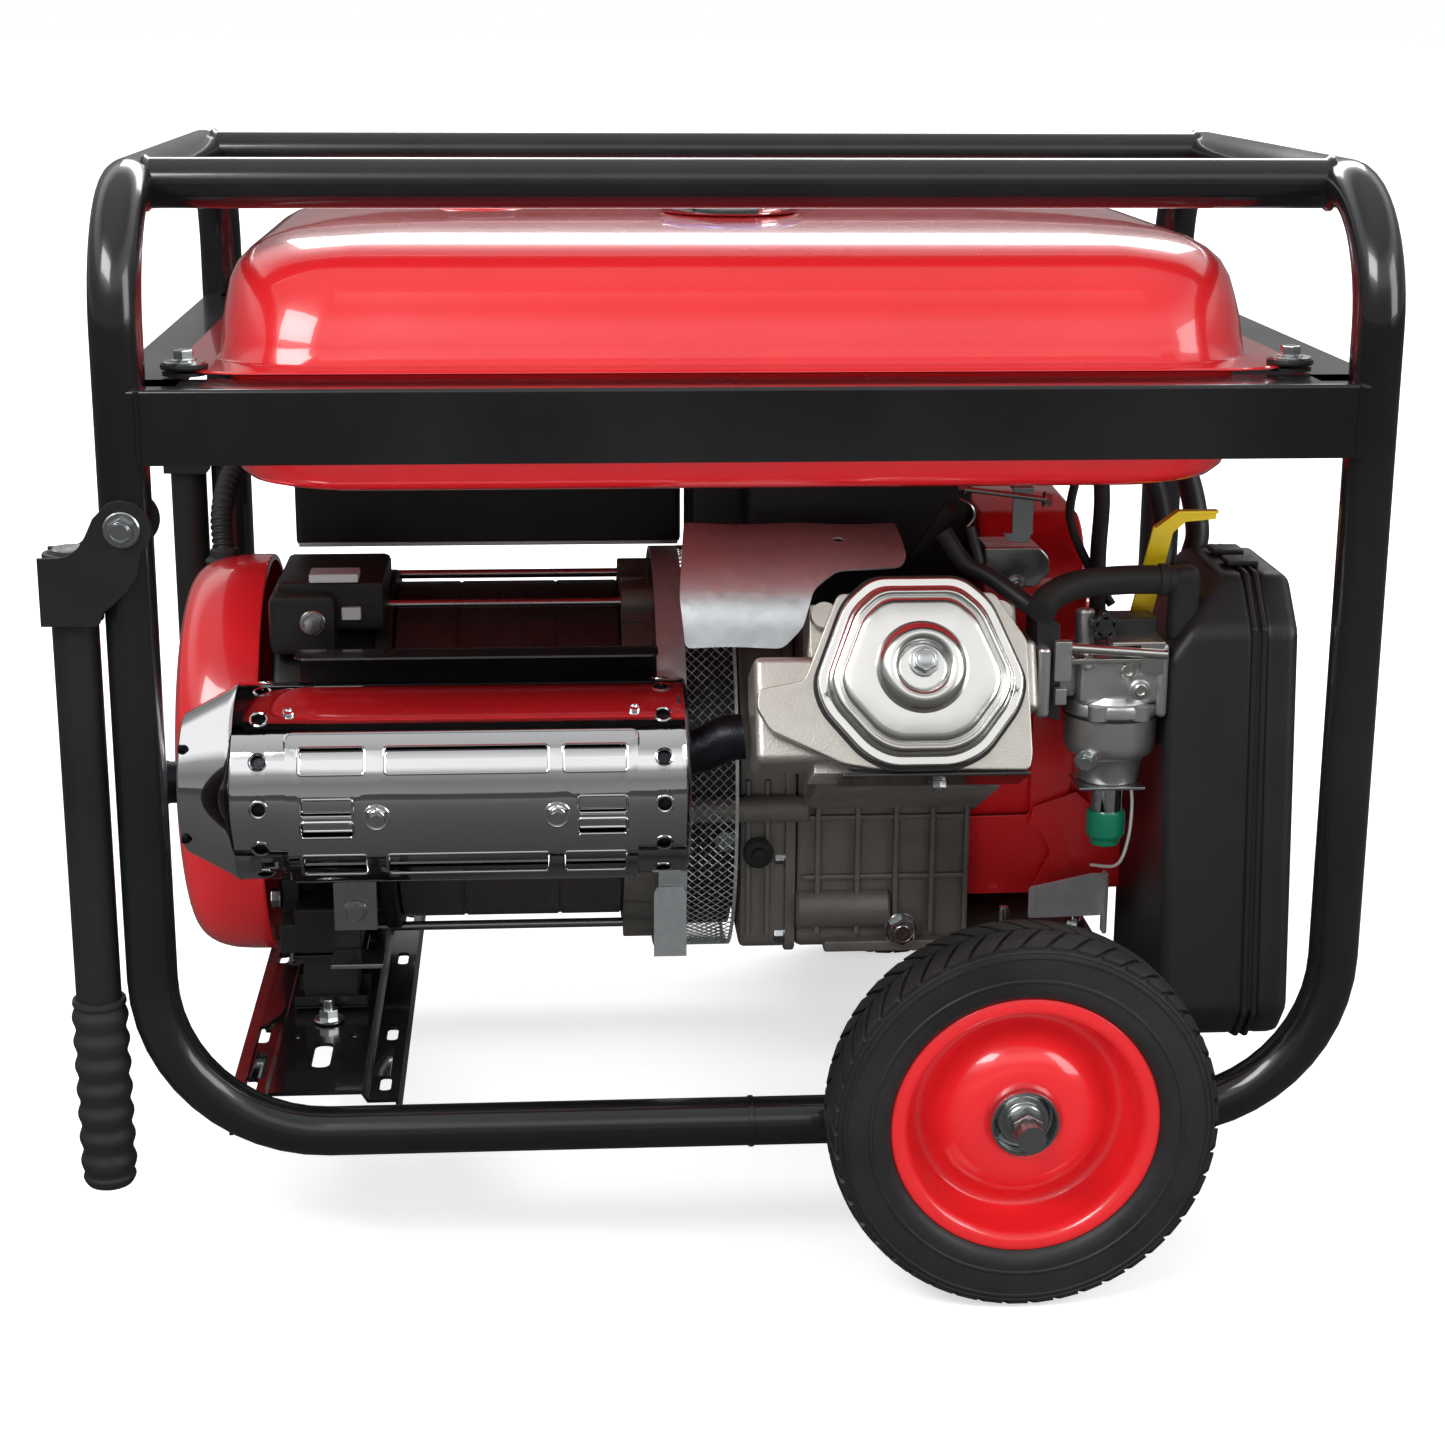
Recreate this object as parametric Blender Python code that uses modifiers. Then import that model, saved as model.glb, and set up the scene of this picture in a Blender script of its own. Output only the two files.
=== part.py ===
"""Portable open-frame generator: tube frame, red tank, engine, alternator, wheels.

Metres, +Z up. The long side runs along X, the engine is at +X, the operator's
panel faces +Y. Every object hangs from the empty "generator_datum", so that the
numbers below are measured from the middle of the two lower frame tubes.
"""
import math

import bmesh
import bpy
from mathutils import Vector

# ---------------------------------------------------------------- driving dimensions
GAP = 0.0003                 # clearance between pieces that touch
WALL = 0.002                 # sheet steel and thin castings

TUBE_R = 0.014               # frame tube
SIDE_X = 0.336               # axis of the left and right upright tubes
SIDE_Y = 0.234               # axis of the front and rear upright tubes
TOP_Z = 0.526                # axis of the top tubes
BEND_LOW = 0.095
BEND_TOP = 0.072
RAIL_Y = 0.1545              # top rails

TRAY_LOW = 0.386             # angle-iron ring that carries the tank
TRAY_TOP = 0.426
TRAY_FACE_Y = 0.247
TRAY_FACE_X = 0.347
ANGLE_LEG = 0.040
ANGLE_THICK = 0.004

WHEEL_R = 0.110
WHEEL_X = 0.148
WHEEL_Y = 0.2815             # middle of the tyre
TYRE_HALF = 0.0235
AXLE_R = 0.008
AXLE_Z = TUBE_R + GAP + AXLE_R
FLOOR_Z = AXLE_Z - WHEEL_R

HANDLE_PIVOT_Z = 0.353
HANDLE_X = -0.366            # axis of the carrying handle's tube
HANDLE_R = 0.0125
GRIP_R = 0.0155
GRIP_TOP = 0.0845
GRIP_LOW = -0.029

SHAFT_Y = 0.040              # crankshaft and alternator axis, along X
SHAFT_Z = 0.148
SHAFT_R = 0.0175
CYLINDER_X = 0.098
CYLINDER_TILT = math.radians(25.0)

STATOR_R = 0.110
STATOR_X = (-0.209, -0.067)
REAR_BRACKET_X = (-0.287, STATOR_X[0] - GAP)
FRONT_BRACKET_X = (STATOR_X[1] + GAP, -0.023)
END_COVER_X = (-0.343, -0.2885)
GUARD_R = 0.132
GUARD_X = (-0.046, 0.003)

MUFFLER_Y = -0.150
MUFFLER_Z = 0.184
MUFFLER_R = 0.057
MUFFLER_X = (-0.324, -0.032)
TAIL_END = -0.3375

CRANKCASE_X = (0.0403, 0.150)
COVER_X = (0.005, 0.040)
BLOWER_X = (0.1505, 0.252)
BLOWER_R = 0.100
STARTER_X = (0.2523, 0.300)
STARTER_R = 0.085

CARB_X, CARB_Y, CARB_Z = 0.218, -0.150, 0.243
CLEANER_X = (0.2465, 0.3005, 0.324)   # case, seam, cover

CHOKE_PIVOT = (0.240, -0.118, 0.264)

PANEL_X = (-0.281, -0.022)
PANEL_Z = (0.268, 0.384)
PANEL_Y = 0.234

LEFT_END = HANDLE_X - GRIP_R
RIGHT_END = SIDE_X + TUBE_R

# ---------------------------------------------------------------- scene and materials
for old in list(bpy.data.objects):
    bpy.data.objects.remove(old)

PARTS = bpy.data.collections.new("portable_generator")
GUIDES = bpy.data.collections.new("cutters")
for group in (PARTS, GUIDES):
    bpy.context.scene.collection.children.link(group)

DATUM = bpy.data.objects.new("generator_datum", None)
DATUM.location = (-(LEFT_END + RIGHT_END) / 2, 0.0, -FLOOR_Z)
PARTS.objects.link(DATUM)


def material(name, colour, roughness, metallic=0.0):
    mat = bpy.data.materials.new(name)
    mat.use_nodes = True
    shader = mat.node_tree.nodes["Principled BSDF"]
    shader.inputs["Base Color"].default_value = (*colour, 1.0)
    shader.inputs["Roughness"].default_value = roughness
    shader.inputs["Metallic"].default_value = metallic
    return mat


BLACK_PAINT = material("black_paint", (0.010, 0.010, 0.012), 0.25)
RED_PAINT = material("red_paint", (0.62, 0.012, 0.010), 0.22)
CHROME = material("chrome", (0.80, 0.80, 0.80), 0.08, 1.0)
ZINC = material("zinc", (0.62, 0.66, 0.68), 0.30, 1.0)
CAST = material("cast_aluminium", (0.36, 0.36, 0.35), 0.50, 0.9)
STEEL = material("steel", (0.30, 0.30, 0.31), 0.40, 1.0)
COPPER = material("copper", (0.60, 0.25, 0.12), 0.40, 1.0)
RUBBER = material("rubber", (0.018, 0.018, 0.018), 0.70)
PLASTIC = material("black_plastic", (0.020, 0.020, 0.022), 0.45)
YELLOW = material("yellow_paint", (0.80, 0.58, 0.01), 0.35)
FOAM = material("filter_foam", (0.10, 0.10, 0.09), 0.95)
GREY = material("grey_plastic", (0.22, 0.23, 0.24), 0.45)
RED_PLASTIC = material("red_plastic", (0.55, 0.02, 0.02), 0.35)


# ---------------------------------------------------------------- building blocks
def add(name, data, mat, at=(0, 0, 0), turn=(0, 0, 0)):
    """Link a part (or, with no material, a cutter) under the datum."""
    obj = bpy.data.objects.new(name, data)
    (PARTS if mat else GUIDES).objects.link(obj)
    obj.parent = DATUM
    obj.location = at
    obj.rotation_euler = turn
    if mat:
        data.materials.append(mat)
    else:
        obj.hide_render = True
        obj.display_type = "WIRE"
    return obj


def add_bmesh(name, bm, mat, at=(0, 0, 0), turn=(0, 0, 0)):
    bmesh.ops.recalc_face_normals(bm, faces=bm.faces)
    data = bpy.data.meshes.new(name)
    bm.to_mesh(data)
    bm.free()
    return add(name, data, mat, at, turn)


def smooth(obj, angle=35.0):
    obj.data.shade_smooth()
    obj.data.set_sharp_from_angle(angle=math.radians(angle))


def box(name, low, high, mat=None, at=(0, 0, 0), turn=(0, 0, 0), edge=0.0, segments=2):
    """A box between two corners, with rounded edges where asked."""
    low, high = Vector(low), Vector(high)
    bm = bmesh.new()
    bmesh.ops.create_cube(bm, size=1.0)
    bmesh.ops.scale(bm, vec=high - low, verts=bm.verts)
    bmesh.ops.translate(bm, vec=(high + low) / 2, verts=bm.verts)
    obj = add_bmesh(name, bm, mat, at, turn)
    if edge:
        bevel(obj, edge, segments)
    return obj


def bevel(obj, width, segments=2):
    mod = obj.modifiers.new("edges", "BEVEL")
    mod.width = width
    mod.segments = segments
    mod.limit_method = "ANGLE"


AXIS_TURN = {
    "X": (0.0, math.pi / 2, 0.0),
    "Y": (-math.pi / 2, 0.0, 0.0),
    "Z": (0.0, 0.0, 0.0),
}


def rod(name, radius, low, high, mat=None, axis="X", at=(0, 0, 0), sides=20, turn=None):
    """A round bar from low to high along its axis."""
    bm = bmesh.new()
    bmesh.ops.create_cone(bm, cap_ends=True, segments=sides, radius1=radius,
                          radius2=radius, depth=high - low)
    bmesh.ops.translate(bm, vec=(0, 0, (high + low) / 2), verts=bm.verts)
    obj = add_bmesh(name, bm, mat, at, turn or AXIS_TURN[axis])
    smooth(obj)
    return obj


def turned(name, profile, mat=None, axis="X", at=(0, 0, 0), steps=24, ring=False, turn=None):
    """A turned piece: (radius, height) points down the outer side, top first."""
    bm = bmesh.new()
    verts = [bm.verts.new((radius, 0.0, height)) for radius, height in profile]
    for first, second in zip(verts, verts[1:]):
        bm.edges.new((first, second))
    if ring:
        bm.edges.new((verts[-1], verts[0]))
    data = bpy.data.meshes.new(name)
    bm.to_mesh(data)
    bm.free()
    obj = add(name, data, mat, at, turn or AXIS_TURN[axis])
    mod = obj.modifiers.new("lathe", "SCREW")
    mod.steps = steps
    mod.render_steps = steps
    mod.use_merge_vertices = True
    mod.merge_threshold = 0.00001
    mod.use_smooth_shade = False
    return obj


def tube(name, points, radius, mat, sides=3, at=(0, 0, 0)):
    """A round tube or wire along a list of points."""
    curve = bpy.data.curves.new(name, "CURVE")
    curve.dimensions = "3D"
    curve.bevel_depth = radius
    curve.bevel_resolution = sides
    curve.use_fill_caps = True
    spline = curve.splines.new("POLY")
    spline.points.add(len(points) - 1)
    for spot, point in zip(spline.points, points):
        spot.co = (*point, 1.0)
    return add(name, curve, mat, at)


def outline(name, points, thick, mat=None, at=(0, 0, 0), turn=(0, 0, 0)):
    """A flat outline in its own XY plane, thick/2 to each side of it."""
    curve = bpy.data.curves.new(name, "CURVE")
    curve.dimensions = "2D"
    curve.fill_mode = "BOTH"
    curve.extrude = thick / 2
    spline = curve.splines.new("POLY")
    spline.points.add(len(points) - 1)
    for spot, (u, v) in zip(spline.points, points):
        spot.co = (u, v, 0.0, 1.0)
    spline.use_cyclic_u = True
    return as_mesh(add(name, curve, mat, at, turn))


def as_mesh(obj):
    """Turn a curve into a closed mesh in the same place."""
    graph = bpy.context.evaluated_depsgraph_get()
    data = bpy.data.meshes.new_from_object(obj.evaluated_get(graph))
    bm = bmesh.new()
    bm.from_mesh(data)
    bmesh.ops.remove_doubles(bm, verts=bm.verts, dist=0.00001)
    bmesh.ops.recalc_face_normals(bm, faces=bm.faces)
    bm.to_mesh(data)
    bm.free()
    name = obj.name
    mat = obj.data.materials[0] if obj.data.materials else None
    place, turn = obj.location.copy(), obj.rotation_euler.copy()
    data.materials.clear()
    bpy.data.objects.remove(obj)
    return add(name, data, mat, place, turn)


def combine(obj, other, operation):
    mod = obj.modifiers.new(operation.lower(), "BOOLEAN")
    mod.operation = operation
    mod.object = other
    mod.solver = "EXACT"
    return obj


def cut(obj, *cutters):
    for cutter in cutters:
        combine(obj, cutter, "DIFFERENCE")
    return obj


def join(obj, *others):
    for other in others:
        combine(obj, other, "UNION")
    return obj


def rounded_path(corners, radii, steps=5):
    """A path through corners, with an arc of the given radius at each inner one."""
    corners = [Vector(corner) for corner in corners]
    path = [corners[0]]
    for i, radius in enumerate(radii, start=1):
        back = (corners[i - 1] - corners[i]).normalized()
        ahead = (corners[i + 1] - corners[i]).normalized()
        half = back.angle(ahead) / 2
        centre = corners[i] + (back + ahead).normalized() * radius / math.sin(half)
        start = corners[i] + back * radius / math.tan(half) - centre
        sweep = math.pi - 2 * half
        side = (back.project(start) - back).normalized() * radius
        for k in range(steps + 1):
            angle = sweep * k / steps
            path.append(centre + start * math.cos(angle) + side * math.sin(angle))
    return path + [corners[-1]]


def smooth_path(points, steps=4):
    """A Catmull-Rom curve through hand-placed points."""
    pts = [Vector(point) for point in points]
    pts = [2 * pts[0] - pts[1]] + pts + [2 * pts[-1] - pts[-2]]
    path = []
    for a, b, c, d in zip(pts, pts[1:], pts[2:], pts[3:]):
        for k in range(steps):
            t = k / steps
            path.append(0.5 * ((2 * b) + (c - a) * t + (2 * a - 5 * b + 4 * c - d) * t ** 2
                               + (3 * b - a - 3 * c + d) * t ** 3))
    return path + [pts[-2]]


def arc(radius, start_deg, end_deg, steps, centre=(0.0, 0.0)):
    for k in range(steps + 1):
        angle = math.radians(start_deg + (end_deg - start_deg) * k / steps)
        yield (centre[0] + radius * math.cos(angle), centre[1] + radius * math.sin(angle))


def rounded_rectangle(low, high, radius, steps=3):
    """Corner arcs of a rectangle, counter-clockwise from the lower left."""
    spots = [(low[0], low[1], 180), (high[0], low[1], 270), (high[0], high[1], 0), (low[0], high[1], 90)]
    for x, y, start in spots:
        inward_x = radius if x == low[0] else -radius
        inward_y = radius if y == low[1] else -radius
        yield from arc(radius, start, start + 90, steps, (x + inward_x, y + inward_y))


def bent_sheet(name, section, low, high, thick, mat, along="Y"):
    """A folded sheet: an open section swept along Y or X and given its thickness."""
    bm = bmesh.new()
    place = {"Y": lambda u, v: (u, low, v), "X": lambda u, v: (low, u, v)}[along]
    verts = [bm.verts.new(place(u, v)) for u, v in section]
    edges = [bm.edges.new(pair) for pair in zip(verts, verts[1:])]
    swept = bmesh.ops.extrude_edge_only(bm, edges=edges)["geom"]
    moved = [item for item in swept if isinstance(item, bmesh.types.BMVert)]
    step = (0, high - low, 0) if along == "Y" else (high - low, 0, 0)
    bmesh.ops.translate(bm, vec=step, verts=moved)
    obj = add_bmesh(name, bm, mat)
    mod = obj.modifiers.new("sheet", "SOLIDIFY")
    mod.thickness = thick
    mod.offset = 0.0
    return obj


def loft(name, sections, mat, at=(0, 0, 0)):
    """A closed body through rings of equal length, lowest first."""
    bm = bmesh.new()
    rings = []
    for ring in sections:
        verts = [bm.verts.new(point) for point in ring]
        rings.append([bm.edges.new((verts[i - 1], verts[i])) for i in range(len(verts))])
    for lower, upper in zip(rings, rings[1:]):
        bmesh.ops.bridge_loops(bm, edges=lower + upper)
    bmesh.ops.holes_fill(bm, edges=rings[0] + rings[-1])
    obj = add_bmesh(name, bm, mat, at)
    smooth(obj, 30.0)
    return obj


# Outlines stand up by turning their own XY plane: into XZ, or into YZ.
IN_XZ = (math.pi / 2, 0.0, 0.0)
IN_YZ = (math.pi / 2, 0.0, math.pi / 2)
ON_CYLINDER = (math.pi / 2 - CYLINDER_TILT, 0.0, 0.0)


def along_cylinder(distance):
    """A point on the cylinder's axis, this far from the crankshaft."""
    return (CYLINDER_X, SHAFT_Y - distance * math.cos(CYLINDER_TILT),
            SHAFT_Z + distance * math.sin(CYLINDER_TILT))


# ---------------------------------------------------------------- frame
def frame_side(name, side):
    """Half of the frame: bottom runs, two uprights and the top cross run."""
    seam, x = side * GAP / 2, side * SIDE_X
    corners = [(seam, -SIDE_Y, 0), (x, -SIDE_Y, 0), (x, -SIDE_Y, TOP_Z),
               (x, SIDE_Y, TOP_Z), (x, SIDE_Y, 0), (seam, SIDE_Y, 0)]
    path = rounded_path(corners, (BEND_LOW, BEND_TOP, BEND_TOP, BEND_LOW))
    return as_mesh(tube(name, path, TUBE_R, BLACK_PAINT, sides=3))


def frame():
    left = frame_side("frame_tube_left", -1)
    frame_side("frame_tube_right", 1)
    hole = rod("handle_bolt_holes", 0.0043, -0.30, 0.30, None, "Y",
               (-SIDE_X, 0, HANDLE_PIVOT_Z), sides=12)
    cut(left, hole)
    saddles = [rod(f"saddle_{i}", TUBE_R + 2 * GAP, -0.2, 0.2, None, "Y", (x, 0, TOP_Z))
               for i, x in enumerate((-SIDE_X, SIDE_X))]
    for name, y in (("top_rail_front", -RAIL_Y), ("top_rail_rear", RAIL_Y)):
        rail = rod(name, TUBE_R, -SIDE_X + 0.004, SIDE_X - 0.004, BLACK_PAINT, "X", (0, y, TOP_Z))
        cut(rail, *saddles)


def tray():
    """Angle-iron ring between the uprights: a face all round and a shelf inside it."""
    ring = box("tank_tray", (-SIDE_X + 0.005, -TRAY_FACE_Y, TRAY_LOW),
               (SIDE_X - 0.005, TRAY_FACE_Y, TRAY_TOP), BLACK_PAINT)
    sides = box("tray_sides", (-TRAY_FACE_X, -SIDE_Y, TRAY_LOW), (TRAY_FACE_X, SIDE_Y, TRAY_TOP))
    shelf_z = TRAY_TOP - ANGLE_THICK
    under = box("tray_under", (-TRAY_FACE_X + ANGLE_THICK, -TRAY_FACE_Y + ANGLE_THICK, TRAY_LOW - 0.01),
                (TRAY_FACE_X - ANGLE_THICK, TRAY_FACE_Y - ANGLE_THICK, shelf_z))
    hole = box("tray_hole", (-TRAY_FACE_X + ANGLE_LEG, -TRAY_FACE_Y + ANGLE_LEG, TRAY_LOW),
               (TRAY_FACE_X - ANGLE_LEG, TRAY_FACE_Y - ANGLE_LEG, TRAY_TOP + 0.01))
    posts = [rod(f"tray_post_{i}", TUBE_R + 2 * GAP, 0.3, 0.5, None, "Z", (x, y, 0))
             for i, (x, y) in enumerate(((-SIDE_X, -SIDE_Y), (SIDE_X, -SIDE_Y),
                                         (-SIDE_X, SIDE_Y), (SIDE_X, SIDE_Y)))]
    join(ring, sides)
    cut(ring, under, hole, *posts)


def cross_member(name, middle_x, hat_z):
    """A hat-section channel whose ends lie against the lower tubes."""
    half, hat, base = 0.0475, 0.0265, 0.0125
    section = [(middle_x - half, -0.008), (middle_x - half, base), (middle_x - hat - 0.004, base),
               (middle_x - hat, hat_z), (middle_x + hat, hat_z), (middle_x + hat + 0.004, base),
               (middle_x + half, base), (middle_x + half, -0.008)]
    bent_sheet(name, section, -SIDE_Y + TUBE_R + GAP, SIDE_Y - TUBE_R - GAP, 0.0025, BLACK_PAINT)


def rubber_mount(name, x, y, low, high):
    """Rubber block bonded between two steel plates."""
    block = box(name, (-0.016, -0.015, low), (0.016, 0.015, high), RUBBER, (x, y, 0))
    plates = [box(f"{name}_plate_{i}", (-0.0225, -0.020, z), (0.0225, 0.020, z + 0.003), None, (x, y, 0))
              for i, z in enumerate((low, high - 0.003))]
    join(block, *plates)


ALTERNATOR_MOUNT_X = -0.250
ALTERNATOR_MOUNT_Y = (-0.075, 0.155)
ENGINE_MOUNT_X = 0.2065
ENGINE_MOUNT_Y = (-0.055, 0.135)
HAT_Z = 0.018
MOUNT_LOW = HAT_Z + 0.0013 + GAP
ALTERNATOR_FOOT_Z = 0.055
CRANKCASE_BASE_Z = 0.045


def mounting():
    cross_member("cross_member_alternator", ALTERNATOR_MOUNT_X, HAT_Z)
    cross_member("cross_member_engine", ENGINE_MOUNT_X, HAT_Z)
    for end, y in zip(("front", "rear"), ALTERNATOR_MOUNT_Y):
        rubber_mount(f"mount_alternator_{end}", ALTERNATOR_MOUNT_X, y, MOUNT_LOW, ALTERNATOR_FOOT_Z - GAP)
    for end, y in zip(("front", "rear"), ENGINE_MOUNT_Y):
        rubber_mount(f"mount_engine_{end}", ENGINE_MOUNT_X, y, MOUNT_LOW, CRANKCASE_BASE_Z - GAP)


# ---------------------------------------------------------------- wheels
def wheels():
    rod("wheel_axle", AXLE_R, -0.319, 0.319, ZINC, "Y", (WHEEL_X, 0, AXLE_Z), sides=16)
    tread = [(0.1065, TYRE_HALF - 0.0045), (WHEEL_R, 0.014), (WHEEL_R, -0.014),
             (0.1065, -TYRE_HALF + 0.0045)]
    wall = [(0.096, -TYRE_HALF), (0.082, -TYRE_HALF + 0.001), (0.0765, -0.0185)]
    bead = [(0.0765, -0.0172), (0.070, -0.0172)]
    tyre = tread + wall + bead + [(r, -h) for r, h in reversed(bead)] + [(r, -h) for r, h in reversed(wall)]
    # Rim: flanges and barrel outside, then a dished disc with a raised middle and a hub.
    rim = [(0.075, 0.0195), (0.075, 0.0176), (0.0695, 0.0172), (0.0695, -0.0172), (0.075, -0.0176),
           (0.075, -0.0195), (0.067, -0.0192), (0.066, -0.004), (0.040, -0.006), (0.0185, -0.013),
           (0.0185, -0.024), (AXLE_R + GAP, -0.024), (AXLE_R + GAP, 0.024), (0.0165, 0.024),
           (0.0165, -0.006), (0.040, -0.003), (0.066, -0.001), (0.067, 0.0192)]
    for end, side in (("front", 1), ("rear", -1)):
        place = (WHEEL_X, -side * WHEEL_Y, AXLE_Z)
        turn = (-side * math.pi / 2, 0.0, 0.0)
        turned(f"tyre_{end}", tyre, RUBBER, at=place, steps=32, ring=True, turn=turn)
        turned(f"rim_{end}", rim, RED_PAINT, at=place, steps=20, ring=True, turn=turn)


# ---------------------------------------------------------------- carrying handles
def handle(end, y):
    """Folding handle: tube, clevis bracket, rubber grip and the pivot bolt."""
    pivot = (-SIDE_X, y, HANDLE_PIVOT_Z)
    tube_x = HANDLE_X + SIDE_X
    top = -0.0145
    arm = rod(f"handle_arm_{end}", HANDLE_R, GRIP_LOW + 0.0045 - HANDLE_PIVOT_Z, top, BLACK_PAINT, "Z",
              pivot)
    arm.data.transform(arm.matrix_basis.Translation((tube_x, 0, 0)))
    cheek = [*arc(0.0155, -60, 110, 6), (tube_x - 0.0155, top), (tube_x - 0.0155, top - 0.038),
             (tube_x + 0.0148, top - 0.038)]
    for i, side in enumerate((-1, 1)):
        plate = outline(f"cheek_{end}_{i}", cheek, 0.0025, None,
                        (pivot[0], y + side * (TUBE_R + 0.0020), pivot[2]), IN_XZ)
        join(arm, plate)
    collar = box(f"collar_{end}", (tube_x - GRIP_R, -0.0165, top - 0.038),
                 (tube_x + 0.0148, 0.0165, top - 0.0005),
                 None, pivot)
    clear = rod(f"handle_bore_{end}", 0.0045, -0.03, 0.03, None, "Y", pivot, 12)
    join(arm, collar)
    cut(arm, clear)
    low, high = GRIP_LOW - HANDLE_PIVOT_Z, GRIP_TOP - HANDLE_PIVOT_Z
    inner = HANDLE_R + GAP
    skin = [(GRIP_R, high), (GRIP_R, low + 0.003), (GRIP_R - 0.003, low), (0.0, low), (0.0, low + 0.004),
            (inner, low + 0.004), (inner, high)]
    turned(f"handle_grip_{end}", skin, RUBBER, "Z", (HANDLE_X, y, HANDLE_PIVOT_Z), ring=True, steps=16)
    head = rod(f"handle_bolt_head_{end}", 0.0075, 0.0182, 0.0245, None, "Y", pivot, 6)
    flange = rod(f"handle_bolt_flange_{end}", 0.010, 0.0178, 0.0195, None, "Y", pivot, 16)
    bolt = rod(f"handle_pivot_bolt_{end}", 0.004, -0.023, 0.019, ZINC, "Y", pivot, 12)
    join(bolt, flange, head)
    if y < 0:
        for piece in (head, flange, bolt):
            piece.rotation_euler = (math.pi / 2, 0.0, 0.0)


# ---------------------------------------------------------------- fuel tank
FILLER = (0.000, -0.025, 0.0)
TANK_MIDDLE_X = -0.0035
# Half length, half width, height and corner radius of the tank, from the bottom up.
TANK_PAN = [(0.255, 0.160, 0.358, 0.050), (0.278, 0.186, 0.363, 0.055), (0.285, 0.193, 0.378, 0.055),
            (0.285, 0.193, 0.4286, 0.055)]
TANK_FLANGE = [(0.3115, 0.2150, 0.4290, 0.045), (0.3115, 0.2150, 0.4306, 0.045)]
TANK_SHELL = [(0.290, 0.201, 0.4312, 0.055), (0.289, 0.196, 0.445, 0.060), (0.286, 0.184, 0.470, 0.062),
              (0.279, 0.172, 0.486, 0.060), (0.266, 0.150, 0.496, 0.055), (0.240, 0.115, 0.501, 0.050)]


def tank_rings(sections, inset=0.0):
    for length, width, z, corner in sections:
        ring = rounded_rectangle((-length + inset, -width + inset), (length - inset, width - inset),
                                 corner, 4)
        lift = inset if z < TANK_FLANGE[0][2] else -inset
        yield [(TANK_MIDDLE_X + u, v, z + lift) for u, v in ring]


def tank():
    """Pressed tank: lower pan, seam flange and crowned upper shell, hollow."""
    body = loft("fuel_tank", list(tank_rings(TANK_PAN + TANK_FLANGE + TANK_SHELL)), RED_PAINT)
    space = loft("tank_space", list(tank_rings(TANK_PAN[:3] + TANK_SHELL[1:], WALL)), None)
    neck = rod("filler_neck", 0.030, 0.49, 0.508, None, "Z", FILLER, 20)
    mouth = rod("filler_mouth", 0.026, 0.47, 0.52, None, "Z", FILLER, 20)
    join(body, neck)
    cut(body, space, mouth)
    cap = [(0.0, 0.5155), (0.036, 0.5155), (0.0415, 0.512), (0.0425, 0.5015), (0.0395, 0.5015),
           (0.0395, 0.508), (0.033, 0.5095), (0.0, 0.5095)]
    turned("fuel_cap", cap, ZINC, "Z", FILLER)


# ---------------------------------------------------------------- exhaust
def exhaust():
    shaft = (0, MUFFLER_Y, MUFFLER_Z)
    left, right = MUFFLER_X
    inner = MUFFLER_R - WALL
    shell = [(MUFFLER_R, right - 0.004), (MUFFLER_R, -0.293), (0.040, left), (0.012, left),
             (0.012, TAIL_END), (0.010, TAIL_END), (0.010, left + WALL), (0.039, left + WALL),
             (inner, -0.2925), (inner, right - 0.004 - WALL),
             (0.0, right - 0.003 - WALL), (0.0, right), (0.053, right)]
    muffler = turned("muffler", shell, CHROME, "X", shaft, steps=24, ring=True)
    wrap = [*arc(MUFFLER_R + 0.0045, 75, 262, 14), *arc(MUFFLER_R + 0.0025, 262, 75, 14)]
    outline("muffler_heat_shield", wrap, 0.198, CHROME, (-0.1645, MUFFLER_Y, MUFFLER_Z), IN_YZ)
    port = [(right - 0.001, -0.150, 0.196), (-0.022, -0.151, 0.200), (-0.010, -0.155, 0.207),
            (0.0005, -0.1555, 0.2085)]
    pipe = as_mesh(tube("exhaust_pipe", smooth_path(port, 3), 0.014, None, sides=2))
    join(muffler, pipe)
    guard = [(-0.082, 0.105), (-0.082, 0.236), (-0.094, 0.250), (-0.122, 0.250)]
    bent_sheet("muffler_inner_guard", guard, -0.262, -0.0475, 0.0015, BLACK_PAINT, along="X")
    head_shield = [(-0.150, 0.2915), (-0.128, 0.312), (-0.085, 0.318), (-0.055, 0.318)]
    shield = bent_sheet("exhaust_heat_shield", head_shield, -0.030, 0.094, 0.0015, ZINC, along="X")
    cut(shield, box("head_room", (-0.0615, -0.2565, -0.060), (0.064, -0.180, 0.0475), None,
                    (CYLINDER_X, SHAFT_Y, SHAFT_Z), (-CYLINDER_TILT, 0, 0)))


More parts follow.
